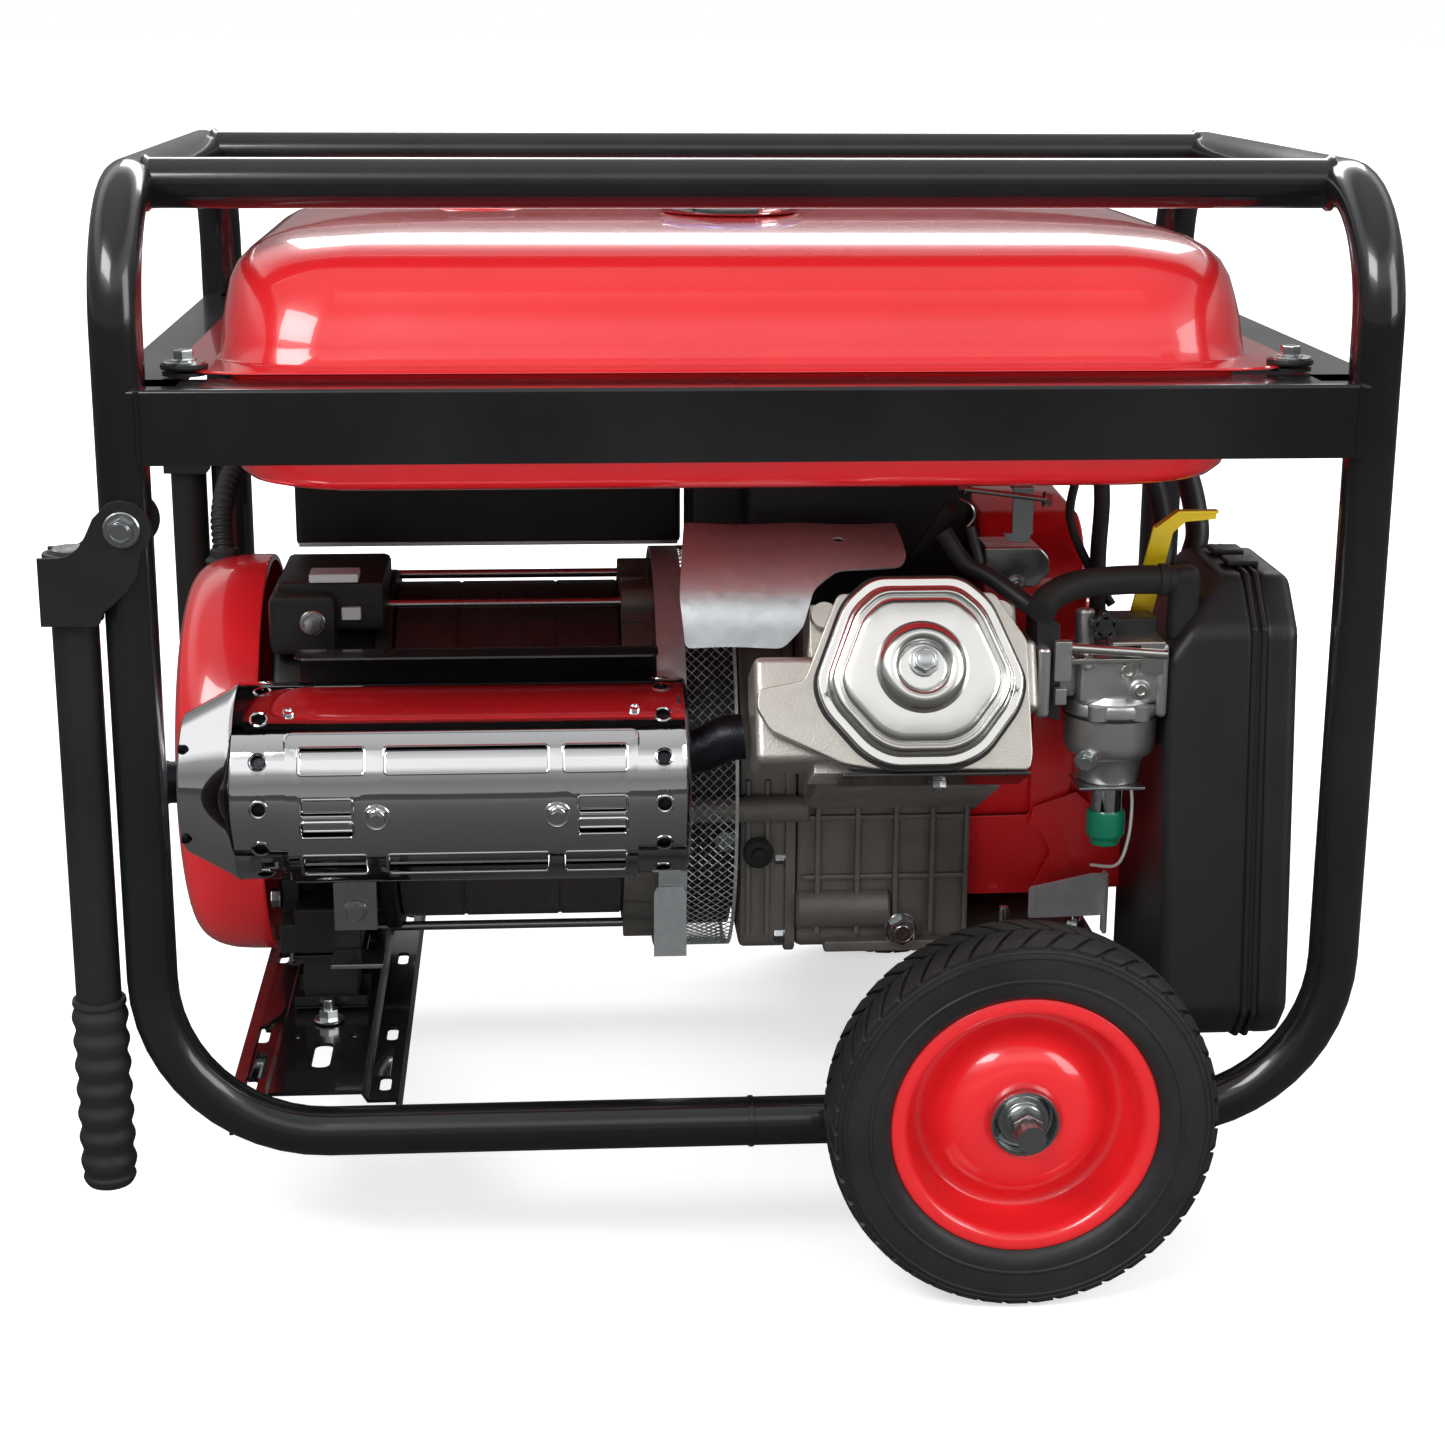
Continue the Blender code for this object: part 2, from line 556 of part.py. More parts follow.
# ---------------------------------------------------------------- alternator
def alternator():
    shaft = (0, SHAFT_Y, SHAFT_Z)
    low, high = STATOR_X
    bore = 0.0765
    stator = [(STATOR_R, high), (STATOR_R, low), (bore, low), (bore, high)]
    turned("stator_core", stator, STEEL, "X", shaft, steps=32, ring=True)
    rotor = [(0.075, high - 0.006), (0.075, low + 0.006), (SHAFT_R + GAP, low + 0.006),
             (SHAFT_R + GAP, high - 0.006)]
    turned("rotor", rotor, COPPER, "X", shaft, steps=24, ring=True)
    fan = [(0.095, -0.046), (0.095, -0.0585), (SHAFT_R + GAP, -0.0585), (SHAFT_R + GAP, -0.040),
           (0.040, -0.040)]
    turned("cooling_fan", fan, GREY, "X", shaft, steps=24, ring=True)

    low, high = REAR_BRACKET_X
    bearing = SHAFT_R + 0.0003
    cage = [(STATOR_R + 0.008, high), (STATOR_R + 0.008, low + 0.006), (0.060, low), (bearing, low),
            (bearing, low + 0.016), (0.040, low + 0.012), (0.104, low + 0.016), (0.104, high)]
    bracket = turned("alternator_rear_bracket", cage, BLACK_PAINT, "X", shaft, steps=24, ring=True)
    windows = [box(f"bracket_window_{i}", (-0.268, -0.042, 0.06), (-0.219, 0.042, 0.14), None, shaft,
                   (math.radians(angle), 0, 0))
               for i, angle in enumerate((90, -90, 180))]
    feet = [box(f"bracket_foot_{i}", (-0.021, -0.020, ALTERNATOR_FOOT_Z), (0.020, 0.020, 0.085), None,
                (ALTERNATOR_MOUNT_X, y, 0)) for i, y in enumerate(ALTERNATOR_MOUNT_Y)]
    tie = box("bracket_tie", (-0.280, ALTERNATOR_MOUNT_Y[0], 0.074), (-0.2685, ALTERNATOR_MOUNT_Y[1], 0.098))
    tie_low = box("bracket_tie_low", (-0.280, ALTERNATOR_MOUNT_Y[0] - 0.02, 0.0556),
                  (-0.2685, ALTERNATOR_MOUNT_Y[1] + 0.02, 0.0751))
    cut(bracket, *windows)
    join(bracket, tie, tie_low, *feet)

    low, high = END_COVER_X
    dome = [(0.129, high), (0.129, low + 0.030), (0.1265, low + 0.016), (0.117, low + 0.004), (0.095, low),
            (0.0, low), (0.0, low + WALL), (0.095, low + WALL), (0.116, low + 0.006), (0.1245, low + 0.017),
            (0.127, low + 0.030), (0.127, high)]
    turned("alternator_end_cover", dome, RED_PAINT, "X", shaft, steps=24, ring=True)

    low, high = FRONT_BRACKET_X
    cone = [(0.118, high), (0.118, low + 0.018), (STATOR_R + 0.004, low), (0.100, low), (0.107, low + 0.018),
            (0.109, high)]
    front = turned("alternator_front_bracket", cone, CAST, "X", shaft, steps=24, ring=True)
    guard = [(GUARD_R, GUARD_X[1]), (GUARD_R, GUARD_X[0]), (GUARD_R - 0.002, GUARD_X[0]),
             (GUARD_R - 0.002, GUARD_X[1])]
    turned("coupling_guard", guard, ZINC, "X", shaft, steps=32, ring=True)
    for i, (side, rise) in enumerate(((-1, 1), (1, 1), (-1, -1), (1, -1))):
        spot = (0, SHAFT_Y + side * 0.045, SHAFT_Z + rise * 0.1075)
        join(front, rod(f"tie_rod_{i + 1}", 0.003, STATOR_X[0] + 0.0005, FRONT_BRACKET_X[0] + 0.020,
                        None, "X", spot, 8))


# ---------------------------------------------------------------- engine
def crankcase():
    low, high = CRANKCASE_X
    profile = [(-0.075, CRANKCASE_BASE_Z), (0.150, CRANKCASE_BASE_Z), (0.150, 0.190), (0.120, 0.232),
               (0.040, 0.250), (-0.040, 0.236), (-0.075, 0.165)]
    middle = (low + high) / 2
    case = outline("crankcase", profile, high - low, CAST, (middle, 0, 0), IN_YZ)
    barrel = box("barrel", (-0.050, -0.191, -0.052), (0.052, -0.060, 0.052), None,
                 (CYLINDER_X, SHAFT_Y, SHAFT_Z), (-CYLINDER_TILT, 0, 0))
    flange = box("crankcase_flange", (0.060, -0.080, CRANKCASE_BASE_Z),
                 (0.230, 0.160, CRANKCASE_BASE_Z + 0.007))
    blower_room = rod("blower_room", BLOWER_R + 2 * GAP, 0.1503, 0.26, None, "X", (0, SHAFT_Y, SHAFT_Z), 48)
    sump = box("sump", (low - 0.01, -0.068, 0.052), (high - 0.008, 0.143, 0.185))
    crown = box("crown_space", (low - 0.01, -0.028, 0.180), (high - 0.008, 0.105, 0.226))
    bore = rod("cylinder_bore", 0.044, 0.03, 0.20, None, at=(CYLINDER_X, SHAFT_Y, SHAFT_Z),
               turn=(math.pi / 2 - CYLINDER_TILT, 0, 0), sides=24)
    exit_hole = rod("flywheel_side_hole", SHAFT_R + 0.0005, 0.1, 0.2, None, "X", (0, SHAFT_Y, SHAFT_Z))
    join(case, barrel, flange)
    cut(case, sump, crown, bore, exit_hole, blower_room)

    side = outline("crankcase_cover", profile, COVER_X[1] - COVER_X[0], CAST, (sum(COVER_X) / 2, 0, 0),
                   IN_YZ)
    recess = box("cover_recess", (0.012, -0.066, 0.054), (0.06, 0.141, 0.185))
    through = rod("cover_bore", SHAFT_R + 0.0005, -0.05, 0.05, None, "X", (0, SHAFT_Y, SHAFT_Z))
    cut(side, recess, through)


def cylinder_top():
    def tilted_box(name, low, high, mat=None, edge=0.0):
        return box(name, low, high, mat, (CYLINDER_X, SHAFT_Y, SHAFT_Z), (-CYLINDER_TILT, 0, 0), edge)

    head = tilted_box("cylinder_head", (-0.060, -0.2535, -0.056), (0.062, -0.1913, 0.045), CAST)
    intake_port = tilted_box("intake_port", (0.050, -0.246, -0.022), (0.0703, -0.200, 0.020))
    lobe = tilted_box("exhaust_lobe", (-0.094, -0.244, -0.050), (-0.055, -0.196, 0.012))
    chamber = rod("combustion_chamber", 0.040, 0.18, 0.203, None, at=(CYLINDER_X, SHAFT_Y, SHAFT_Z),
                  turn=(math.pi / 2 - CYLINDER_TILT, 0, 0), sides=24)
    join(head, lobe, intake_port)
    cut(head, chamber)

    shape = [(-0.060, -0.006), (-0.056, -0.022), (-0.034, -0.048), (-0.020, -0.0555), (0.020, -0.0555),
             (0.036, -0.048), (0.056, -0.022), (0.0605, -0.006), (0.042, 0.040), (0.026, 0.054),
             (-0.026, 0.054), (-0.042, 0.040)]
    thick = 0.024
    cover = outline("valve_cover", shape, thick, CHROME, along_cylinder(0.2540 + thick / 2), ON_CYLINDER)
    inner = [(u * 0.93, v * 0.93) for u, v in shape]
    hollow = outline("valve_space", inner, thick, None, along_cylinder(0.2518 + thick / 2), ON_CYLINDER)
    cut(cover, hollow)


def rotating_parts():
    """Crankshaft with its throw, flywheel and fan blades: all turn as one."""
    shaft = (0, SHAFT_Y, SHAFT_Z)
    stroke = 0.031
    crank = rod("crankshaft", SHAFT_R - GAP, REAR_BRACKET_X[0] + 0.002, 0.078, STEEL, "X", shaft)
    tail = rod("crank_tail", SHAFT_R - GAP, 0.118, 0.2365, None, "X", shaft)
    pin = rod("crank_pin", 0.014, 0.080, 0.116, None, "X", (0, SHAFT_Y, SHAFT_Z - stroke))
    cheek = [*arc(0.040, 20, 160, 8), *arc(0.020, 200, 340, 6, (0.0, -stroke))]
    webs = [outline(f"crank_web_{i}", cheek, 0.012, None, (x, SHAFT_Y, SHAFT_Z), IN_YZ)
            for i, x in enumerate((0.0745, 0.1215))]
    join(crank, *webs, pin, tail)
    wheel = [(0.088, 0.190), (0.088, 0.163), (0.020, 0.163), (SHAFT_R + GAP, 0.1645), (SHAFT_R + GAP, 0.186),
             (0.020, 0.186), (0.030, 0.178), (0.074, 0.178), (0.078, 0.190)]
    turned("flywheel", wheel, CAST, "X", shaft, steps=20, ring=True)


def blower_and_starter():
    low, high = BLOWER_X
    shaft = (0, SHAFT_Y, SHAFT_Z)
    shell = [(0.062, high), (0.090, high), (0.097, high - 0.006), (BLOWER_R, high - 0.016), (BLOWER_R, low),
             (BLOWER_R - WALL, low), (BLOWER_R - WALL, high - 0.016), (0.0955, high - 0.0075),
             (0.089, high - WALL), (0.062, high - WALL)]
    turned("blower_housing", shell, RED_PAINT, "X", shaft, steps=24, ring=True)
    low, high = STARTER_X
    cup = [(0.0, high), (0.050, high), (0.072, high - 0.010), (STARTER_R, high - 0.030), (STARTER_R, low),
           (STARTER_R - WALL, low), (STARTER_R - WALL, high - 0.030), (0.0705, high - 0.0115),
           (0.0495, high - WALL), (0.0, high - WALL)]
    turned("recoil_starter", cup, PLASTIC, "X", shaft, steps=24)
    pulley = [(0.046, 0.280), (0.046, 0.276), (0.040, 0.274), (0.040, 0.270), (0.046, 0.268), (0.046, 0.264),
              (0.0, 0.264), (0.0, 0.280)]
    turned("recoil_pulley", pulley, GREY, "X", shaft, steps=16, ring=True)
    box("recoil_grip", (-0.0085, -0.028, -0.0085), (0.0125, 0.028, 0.0085), RUBBER,
        (GRIP_SPOT[0], GRIP_SPOT[1], GRIP_SPOT[2]), edge=0.004)


GRIP_SPOT = (0.3090, SHAFT_Y + 0.030, SHAFT_Z + 0.045)


def intake():
    body = box("carburettor", (0.1915, CARB_Y - 0.024, CARB_Z - 0.022),
               (0.2455, CARB_Y + 0.024, CARB_Z + 0.018), CAST)
    flange = box("carburettor_flange", (0.1686, CARB_Y - 0.028, CARB_Z - 0.022),
                 (0.198, CARB_Y + 0.028, CARB_Z + 0.022))
    venturi = rod("venturi", 0.011, 0.16, 0.26, None, "X", (0, CARB_Y, CARB_Z), 16)
    choke_boss = rod("choke_boss", 0.0045, CARB_Y + 0.020, CHOKE_PIVOT[1] - 0.0013, None, "Y",
                     (CHOKE_PIVOT[0], 0, CARB_Z + 0.012), 12)
    lug = box("choke_lug", (CHOKE_PIVOT[0] - 0.004, CARB_Y + 0.015, CARB_Z + 0.010),
              (CHOKE_PIVOT[0] + 0.004, CHOKE_PIVOT[1] - 0.0014, CHOKE_PIVOT[2] + 0.004))
    join(body, flange, choke_boss, lug)
    cut(body, venturi)
    bowl = [(0.0, 0.2207), (0.0265, 0.2207), (0.0265, 0.195), (0.019, 0.191), (0.018, 0.176), (0.0, 0.176)]
    turned("float_bowl", bowl, CAST, "Z", (CARB_X, CARB_Y, 0), steps=24)
    coil = [(0.0, 0.1755), (0.0095, 0.1755), (0.0095, 0.157), (0.0115, 0.1565), (0.0105, 0.138),
            (0.0, 0.137)]
    turned("fuel_solenoid", coil, CHROME, "Z", (CARB_X, CARB_Y, 0), steps=16)

    lever = [*arc(0.007, 150, 360, 6), (0.0185, 0.056), (0.026, 0.0625), (0.044, 0.0640), (0.044, 0.0700),
             (0.020, 0.0700), (0.0065, 0.0600)]
    outline("choke_lever", lever, 0.002, YELLOW, CHOKE_PIVOT, IN_XZ)

    low, seam, high = CLEANER_X
    side_view = [(-0.060, 0.300), (-0.143, 0.300), (-0.170, 0.272), (-0.196, 0.045), (-0.180, 0.025),
                 (-0.150, 0.018), (-0.060, 0.018)]
    front_view = [(low, 0.012), (seam - GAP / 2, 0.012), (seam - GAP / 2, 0.310), (low + 0.032, 0.310),
                  (low, 0.256)]
    case = outline("air_cleaner_case", side_view, seam - low + 0.02, PLASTIC, ((low + seam) / 2, 0, 0),
                   IN_YZ)
    combine(case, outline("case_front_view", front_view, 0.4, None, (0, -0.12, 0), IN_XZ), "INTERSECT")
    spigot = box("case_spigot", (0.2560, CARB_Y - 0.0085, 0.270), (0.2720, CARB_Y + 0.0085, 0.3075))
    room = box("case_room", (low + 0.003, -0.164, 0.050), (seam + 0.02, -0.064, 0.250))
    join(case, spigot)
    cut(case, room)
    lid = outline("air_cleaner_cover", side_view, high - seam, PLASTIC, ((seam + high) / 2 + GAP, 0, 0),
                  IN_YZ)
    cover_room = box("cover_room", (seam - 0.01, -0.164, 0.050), (high - 0.003, -0.064, 0.250))
    cut(lid, cover_room)
    bevel(lid, 0.004)
    box("air_filter", (low + 0.004, -0.162, 0.052), (high - 0.005, -0.066, 0.248), FOAM)

    hose = [(0.1702, -0.171, 0.285), (0.178, -0.160, 0.291), (0.195, -0.151, 0.296), (0.222, -0.150, 0.2985),
            (0.2556, -0.150, 0.2985)]
    as_mesh(tube("breather_tube", smooth_path(hose, 3), 0.0085, RUBBER, sides=2))
    fuel = [(0.225, -0.060, 0.3565), (0.226, -0.068, 0.330), (0.222, -0.082, 0.300), (0.2195, -0.098, 0.270),
            (0.2190, -0.110, 0.250), (0.2190, CARB_Y + 0.0265, 0.2430)]
    as_mesh(tube("fuel_hose", smooth_path(fuel, 3), 0.005, RUBBER, sides=2))


# ---------------------------------------------------------------- control panel
SOCKETS_X = (-0.130, -0.068)
SOCKET_Z = 0.322
LID_HINGE_Z = SOCKET_Z + 0.026
BREAKER_SPOT = (-0.190, SOCKET_Z)
SWITCH_SPOT = (-0.245, 0.298)


def panel():
    low, high = PANEL_X
    body = box("control_box", (low, 0.118, PANEL_Z[0]), (high, PANEL_Y, 0.352), PLASTIC)
    plate = box("panel_plate", (low, PANEL_Y - 0.004, PANEL_Z[0]), (high, PANEL_Y, PANEL_Z[1]))
    room = box("panel_room", (low + 0.003, 0.1, PANEL_Z[0] + 0.003), (high - 0.003, PANEL_Y - 0.004, 0.349))
    join(body, plate)
    cut(body, room)
    toggle_slot = box("toggle_slot", (-0.006, -0.010, -0.010), (0.006, 0.020, 0.010), None,
                      (BREAKER_SPOT[0], PANEL_Y, BREAKER_SPOT[1]))
    for i, x in enumerate(SOCKETS_X):
        join(body, rod(f"socket_{i + 1}", 0.0235, -0.001, 0.006, None, "Y", (x, PANEL_Y, SOCKET_Z), 16))
        box(f"socket_lid_{i + 1}", (-0.025, -0.0015, -0.052), (0.025, 0.0020, 0.003), GREY,
            (x, PANEL_Y + 0.0085, LID_HINGE_Z), edge=0.001, segments=1)
    cut(body, toggle_slot)
    box("breaker_toggle", (-0.005, -0.002, -0.004), (0.005, 0.014, 0.004), PLASTIC,
        (BREAKER_SPOT[0], PANEL_Y, BREAKER_SPOT[1]), (math.radians(-20), 0, 0))
    knob = rod("engine_switch", 0.013, GAP, 0.014, RED_PLASTIC, "Y",
               (SWITCH_SPOT[0], PANEL_Y, SWITCH_SPOT[1]), 20)
    join(knob, box("switch_blade", (-0.0035, 0.013, -0.012), (0.0035, 0.020, 0.012), None,
                   (SWITCH_SPOT[0], PANEL_Y, SWITCH_SPOT[1])))
    conduit = [(-0.322, 0.060, 0.276), (-0.324, 0.075, 0.300), (-0.320, 0.105, 0.320),
               (-0.308, 0.135, 0.329),
               (-0.2955, 0.156, 0.331), (-0.2835, 0.159, 0.331)]
    as_mesh(tube("conduit", smooth_path(conduit, 3), 0.0075, PLASTIC, sides=2))


frame()
tray()
mounting()
wheels()
for end_name, end_y in (("front", -SIDE_Y), ("rear", SIDE_Y)):
    handle(end_name, end_y)
tank()
exhaust()
alternator()
crankcase()
cylinder_top()
rotating_parts()
blower_and_starter()
intake()
panel()
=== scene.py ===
# %% [markdown]
# # A portable generator
# A petrol engine and an alternator hang on rubber mounts in a frame of bent tube, with the fuel tank on a
# tray above them and two wheels and two folding handles to move it. The fixed model gives every part's
# place and how it moves. This script gives the looks: it dresses the parts whose shape is right already,
# and builds finer pieces for those that need pressings, treads, threads and fasteners.

# %% Load the fixed model
import math

import bmesh
import bpy
from mathutils import Matrix, Vector


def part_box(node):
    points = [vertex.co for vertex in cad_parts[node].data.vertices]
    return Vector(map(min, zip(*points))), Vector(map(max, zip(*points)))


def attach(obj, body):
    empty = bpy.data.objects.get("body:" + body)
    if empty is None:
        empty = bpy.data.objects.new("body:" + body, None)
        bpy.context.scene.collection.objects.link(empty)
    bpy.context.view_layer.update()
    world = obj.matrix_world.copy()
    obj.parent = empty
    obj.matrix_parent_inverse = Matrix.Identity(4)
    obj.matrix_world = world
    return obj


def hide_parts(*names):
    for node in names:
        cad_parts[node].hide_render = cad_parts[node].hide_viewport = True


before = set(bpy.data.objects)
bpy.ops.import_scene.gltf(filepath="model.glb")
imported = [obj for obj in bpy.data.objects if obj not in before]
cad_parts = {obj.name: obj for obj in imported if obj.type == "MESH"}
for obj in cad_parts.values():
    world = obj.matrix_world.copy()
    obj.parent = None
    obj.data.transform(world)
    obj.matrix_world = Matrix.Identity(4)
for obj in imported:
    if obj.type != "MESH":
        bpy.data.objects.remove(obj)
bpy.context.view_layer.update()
scene = bpy.context.scene

# %% [markdown]
# Everything below is drawn from one datum: the middle of the frame, level with the centre of its lower
# tubes. The wheel axle's box tells where that datum is in the fixed model, so each finished piece is moved
# there once, by the same step.

# %% Find the datum
axle_low, axle_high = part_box("wheel_axle")
AXLE = Vector((0.148, 0.0, 0.0223))
DATUM = (axle_low + axle_high) / 2 - AXLE
FLOOR = -0.0877
print("datum at", [round(v, 5) for v in DATUM])

# %% [markdown]
# ## Camera, floor and light
# The generator stands on a white floor in a bright room. A long lens a little above it, tipped down, keeps
# its upright tubes nearly parallel. Gloss paint and chrome only look right when they have something to
# reflect, so the room is dark at eye level with one bright band halfway up, and wide soft lamps draw the
# clean highlights along the tubes.

# %% Place the camera
LENS = 64.47
EYE = Vector((-0.113607, -1.60832, 0.619579))
PITCH, YAW, ROLL = 0.269663, 0.069915, 0.005101

ahead = Vector((math.sin(YAW) * math.cos(PITCH), math.cos(YAW) * math.cos(PITCH), -math.sin(PITCH)))
level = Vector((math.cos(YAW), -math.sin(YAW), 0))
below = ahead.cross(level)
right = math.cos(ROLL) * level - math.sin(ROLL) * below
down = math.sin(ROLL) * level + math.cos(ROLL) * below
camera = bpy.data.objects.new("camera", bpy.data.cameras.new("camera"))
camera.data.lens = LENS
camera.matrix_world = Matrix.Translation(EYE + DATUM) @ Matrix((right, -down, -ahead)).transposed().to_4x4()
scene.collection.objects.link(camera)
scene.camera = camera
print("camera at", [round(v, 3) for v in camera.location], "with a lens of", LENS, "mm")

# %% [markdown]
# A soft lamp is a large rectangle of light. Each is aimed by turning its -Z axis from its own place to the
# point that it lights. Standard colour keeps the whites of the floor and the pure red of the enamel.

# %% Lamps and room
scene.view_settings.view_transform = "Standard"


def lamp(name, place, target, width, depth, power, mirrored=True):
    """Makes one soft rectangular lamp, aimed at a point; one that isn't mirrored leaves no highlight."""
    light = bpy.data.lights.new(name, "AREA")
    light.shape, light.size, light.size_y, light.energy = "RECTANGLE", width, depth, power
    stand = bpy.data.objects.new(name, light)
    toward = Vector(target) - Vector(place)
    stand.matrix_world = Matrix.Translation(place) @ toward.to_track_quat("-Z", "Y").to_matrix().to_4x4()
    stand.visible_glossy = mirrored
    scene.collection.objects.link(stand)
    print(name, "lamp,", power, "W")


lamp("key", (-1.3, -1.7, 2.1), (0, 0, 0.3), 1.6, 0.7, 34)
lamp("fill", (2.1, -1.5, 1.3), (0, 0, 0.2), 1.2, 1.4, 20)
lamp("back", (0.3, 2.2, 1.9), (0, 0, 0.3), 2.2, 0.8, 30)
lamp("low", (-0.2, -2.6, 0.35), (0, 0, 0.2), 2.6, 0.45, 12, mirrored=False)

room = bpy.data.worlds.new("room")
room.use_nodes = True
scene.world = room
sky = room.node_tree
backdrop = sky.nodes["Background"]
backdrop.inputs["Strength"].default_value = 1.0
place = sky.nodes.new("ShaderNodeTexCoord")
split = sky.nodes.new("ShaderNodeSeparateXYZ")
bands = sky.nodes.new("ShaderNodeValToRGB")
sky.links.new(place.outputs["Generated"], split.inputs[0])
sky.links.new(split.outputs["Z"], bands.inputs["Fac"])
sky.links.new(bands.outputs["Color"], backdrop.inputs["Color"])
ROOM_BANDS = [(0.0, 0.26), (0.2, 0.2), (0.38, 0.34), (0.48, 1.0), (0.64, 1.0), (0.76, 0.4), (1.0, 0.62)]
while len(bands.color_ramp.elements) < len(ROOM_BANDS):
    bands.color_ramp.elements.new(0.5)
for stop, (height, bright) in zip(bands.color_ramp.elements, ROOM_BANDS):
    stop.position = height
    stop.color = (bright, bright, bright * 1.01, 1)
print("room of", len(ROOM_BANDS), "bands")

# %% [markdown]
# ## Shop-floor helpers
# A piece is drawn as one or more bmeshes and then kept: its doubles are merged, its faces turned outwards,
# its place put into its mesh, and its edges made crisp where they are sharper than a set angle. Weighted
# normals keep the wide faces flat beside their small rounded edges. Keeping a piece also hangs it on the body
# it rides on, gives it its finishes and hides the fixed parts it stands for.

# %% Keep a finished piece
SHARP = math.radians(32)
MERGE = 1e-6
made_pieces = []


def gather(*parts):
    """Puts several bmeshes in one. A part may be a (bmesh, material number) pair."""
    whole = bmesh.new()
    for part in parts:
        part, number = part if isinstance(part, tuple) else (part, None)
        if number is not None:
            for face in part.faces:
                face.material_index = number
        passing = bpy.data.meshes.new("passing")
        part.to_mesh(passing)
        part.free()
        whole.from_mesh(passing)
        bpy.data.meshes.remove(passing)
    return whole


def keep(name, shape, finishes, body="frame", stands_for=(), sharp=SHARP):
    """Makes a bmesh an object in place, with its finishes, hangs it on its body and hides the fixed parts it
    stands for.
    """
    bmesh.ops.remove_doubles(shape, verts=shape.verts, dist=MERGE)
    bmesh.ops.recalc_face_normals(shape, faces=shape.faces)
    bmesh.ops.translate(shape, verts=shape.verts, vec=DATUM)
    mesh = bpy.data.meshes.new(name)
    shape.to_mesh(mesh)
    shape.free()
    for finish in finishes if isinstance(finishes, (list, tuple)) else [finishes]:
        mesh.materials.append(finish)
    mesh.shade_smooth()
    mesh.set_sharp_from_angle(angle=sharp)
    piece = bpy.data.objects.new(name, mesh)
    scene.collection.objects.link(piece)
    piece.modifiers.new("flat faces stay flat", "WEIGHTED_NORMAL").keep_sharp = True
    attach(piece, body)
    if stands_for:
        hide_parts(*stands_for)
    made_pieces.append(piece)
    print(f"{name}: {len(mesh.polygons)} faces on {body}")
    return piece


def moved(shape, matrix):
    """The same bmesh, moved by a matrix."""
    bmesh.ops.transform(shape, matrix=matrix, verts=shape.verts)
    return shape


def shift(x, y, z):
    """A plain move."""
    return Matrix.Translation((x, y, z))


def aim(centre, axis):
    """The matrix that puts a shape drawn up the Z axis at a centre, pointing along an axis."""
    turn = Vector((0, 0, 1)).rotation_difference(Vector(axis)).to_matrix().to_4x4()
    return Matrix.Translation(centre) @ turn


# FRONT stands a flat outline upright facing forward, SIDE stands it upright facing along the crankshaft.
FRONT = Matrix.Rotation(math.pi / 2, 4, "X")
SIDE = Matrix(((0, 0, 1, 0), (1, 0, 0, 0), (0, 1, 0, 0), (0, 0, 0, 1)))


# %% [markdown]
# Most of a machine is one of five shapes: something turned on a lathe, a block, a plate cut to an outline,
# a bent pipe, or a sheet with holes punched in it. Each has one helper that starts from a few vertices and
# lets bmesh's own operators do the work.

# %% Turned shapes, blocks and plates
def turned(profile, steps=48, place=Matrix()):
    """Spins (radius, height) pairs round the Z axis."""
    shape = bmesh.new()
    line = [shape.verts.new((radius, 0, height)) for radius, height in profile]
    edges = [shape.edges.new(pair) for pair in zip(line, line[1:])]
    bmesh.ops.spin(shape, geom=line + edges, cent=(0, 0, 0), axis=(0, 0, 1), angle=math.tau, steps=steps,
        use_merge=True)
    bmesh.ops.remove_doubles(shape, verts=shape.verts, dist=MERGE)
    return moved(shape, place)


def rounded(shape, edges, radius, segments=2):
    """Bevels some edges of a bmesh."""
    bmesh.ops.bevel(shape, geom=edges, offset=radius, offset_type="OFFSET", segments=segments, profile=0.5,
        affect="EDGES", clamp_overlap=True, material=-1)
    return shape


def block(low, high, edge=0.0, place=Matrix(), segments=2):
    """A box between two corners, with its edges rounded."""
    shape = bmesh.new()
    bmesh.ops.create_cube(shape, size=1)
    size = [b - a for a, b in zip(low, high)]
    middle = [(a + b) / 2 for a, b in zip(low, high)]
    bmesh.ops.scale(shape, verts=shape.verts, vec=size)
    bmesh.ops.translate(shape, verts=shape.verts, vec=middle)
    if edge:
        rounded(shape, shape.edges[:], edge, segments)
    return moved(shape, place)


def plate(outline, thick, edge=0.0, place=Matrix(), corner=0.0, segments=2):
    """A flat plate in the XY plane, raised up Z by its thickness; corners and then edges are rounded."""
    shape = bmesh.new()
    face = shape.faces.new([shape.verts.new((x, y, 0)) for x, y in outline])
    if corner:
        bmesh.ops.bevel(shape, geom=shape.verts[:], offset=corner, offset_type="OFFSET", segments=4,
            profile=0.5, affect="VERTICES", clamp_overlap=True, material=-1)
        shape.faces.ensure_lookup_table()
        face = shape.faces[0]
    lifted = bmesh.ops.extrude_face_region(shape, geom=[face], use_keep_orig=True)["geom"]
    bmesh.ops.translate(shape, verts=[v for v in lifted if isinstance(v, bmesh.types.BMVert)],
        vec=(0, 0, thick))
    bmesh.ops.recalc_face_normals(shape, faces=shape.faces)
    if edge:
        rims = [e for e in shape.edges if abs(e.verts[0].co.z - e.verts[1].co.z) < MERGE]
        rounded(shape, rims, edge, segments)
    return moved(shape, place)


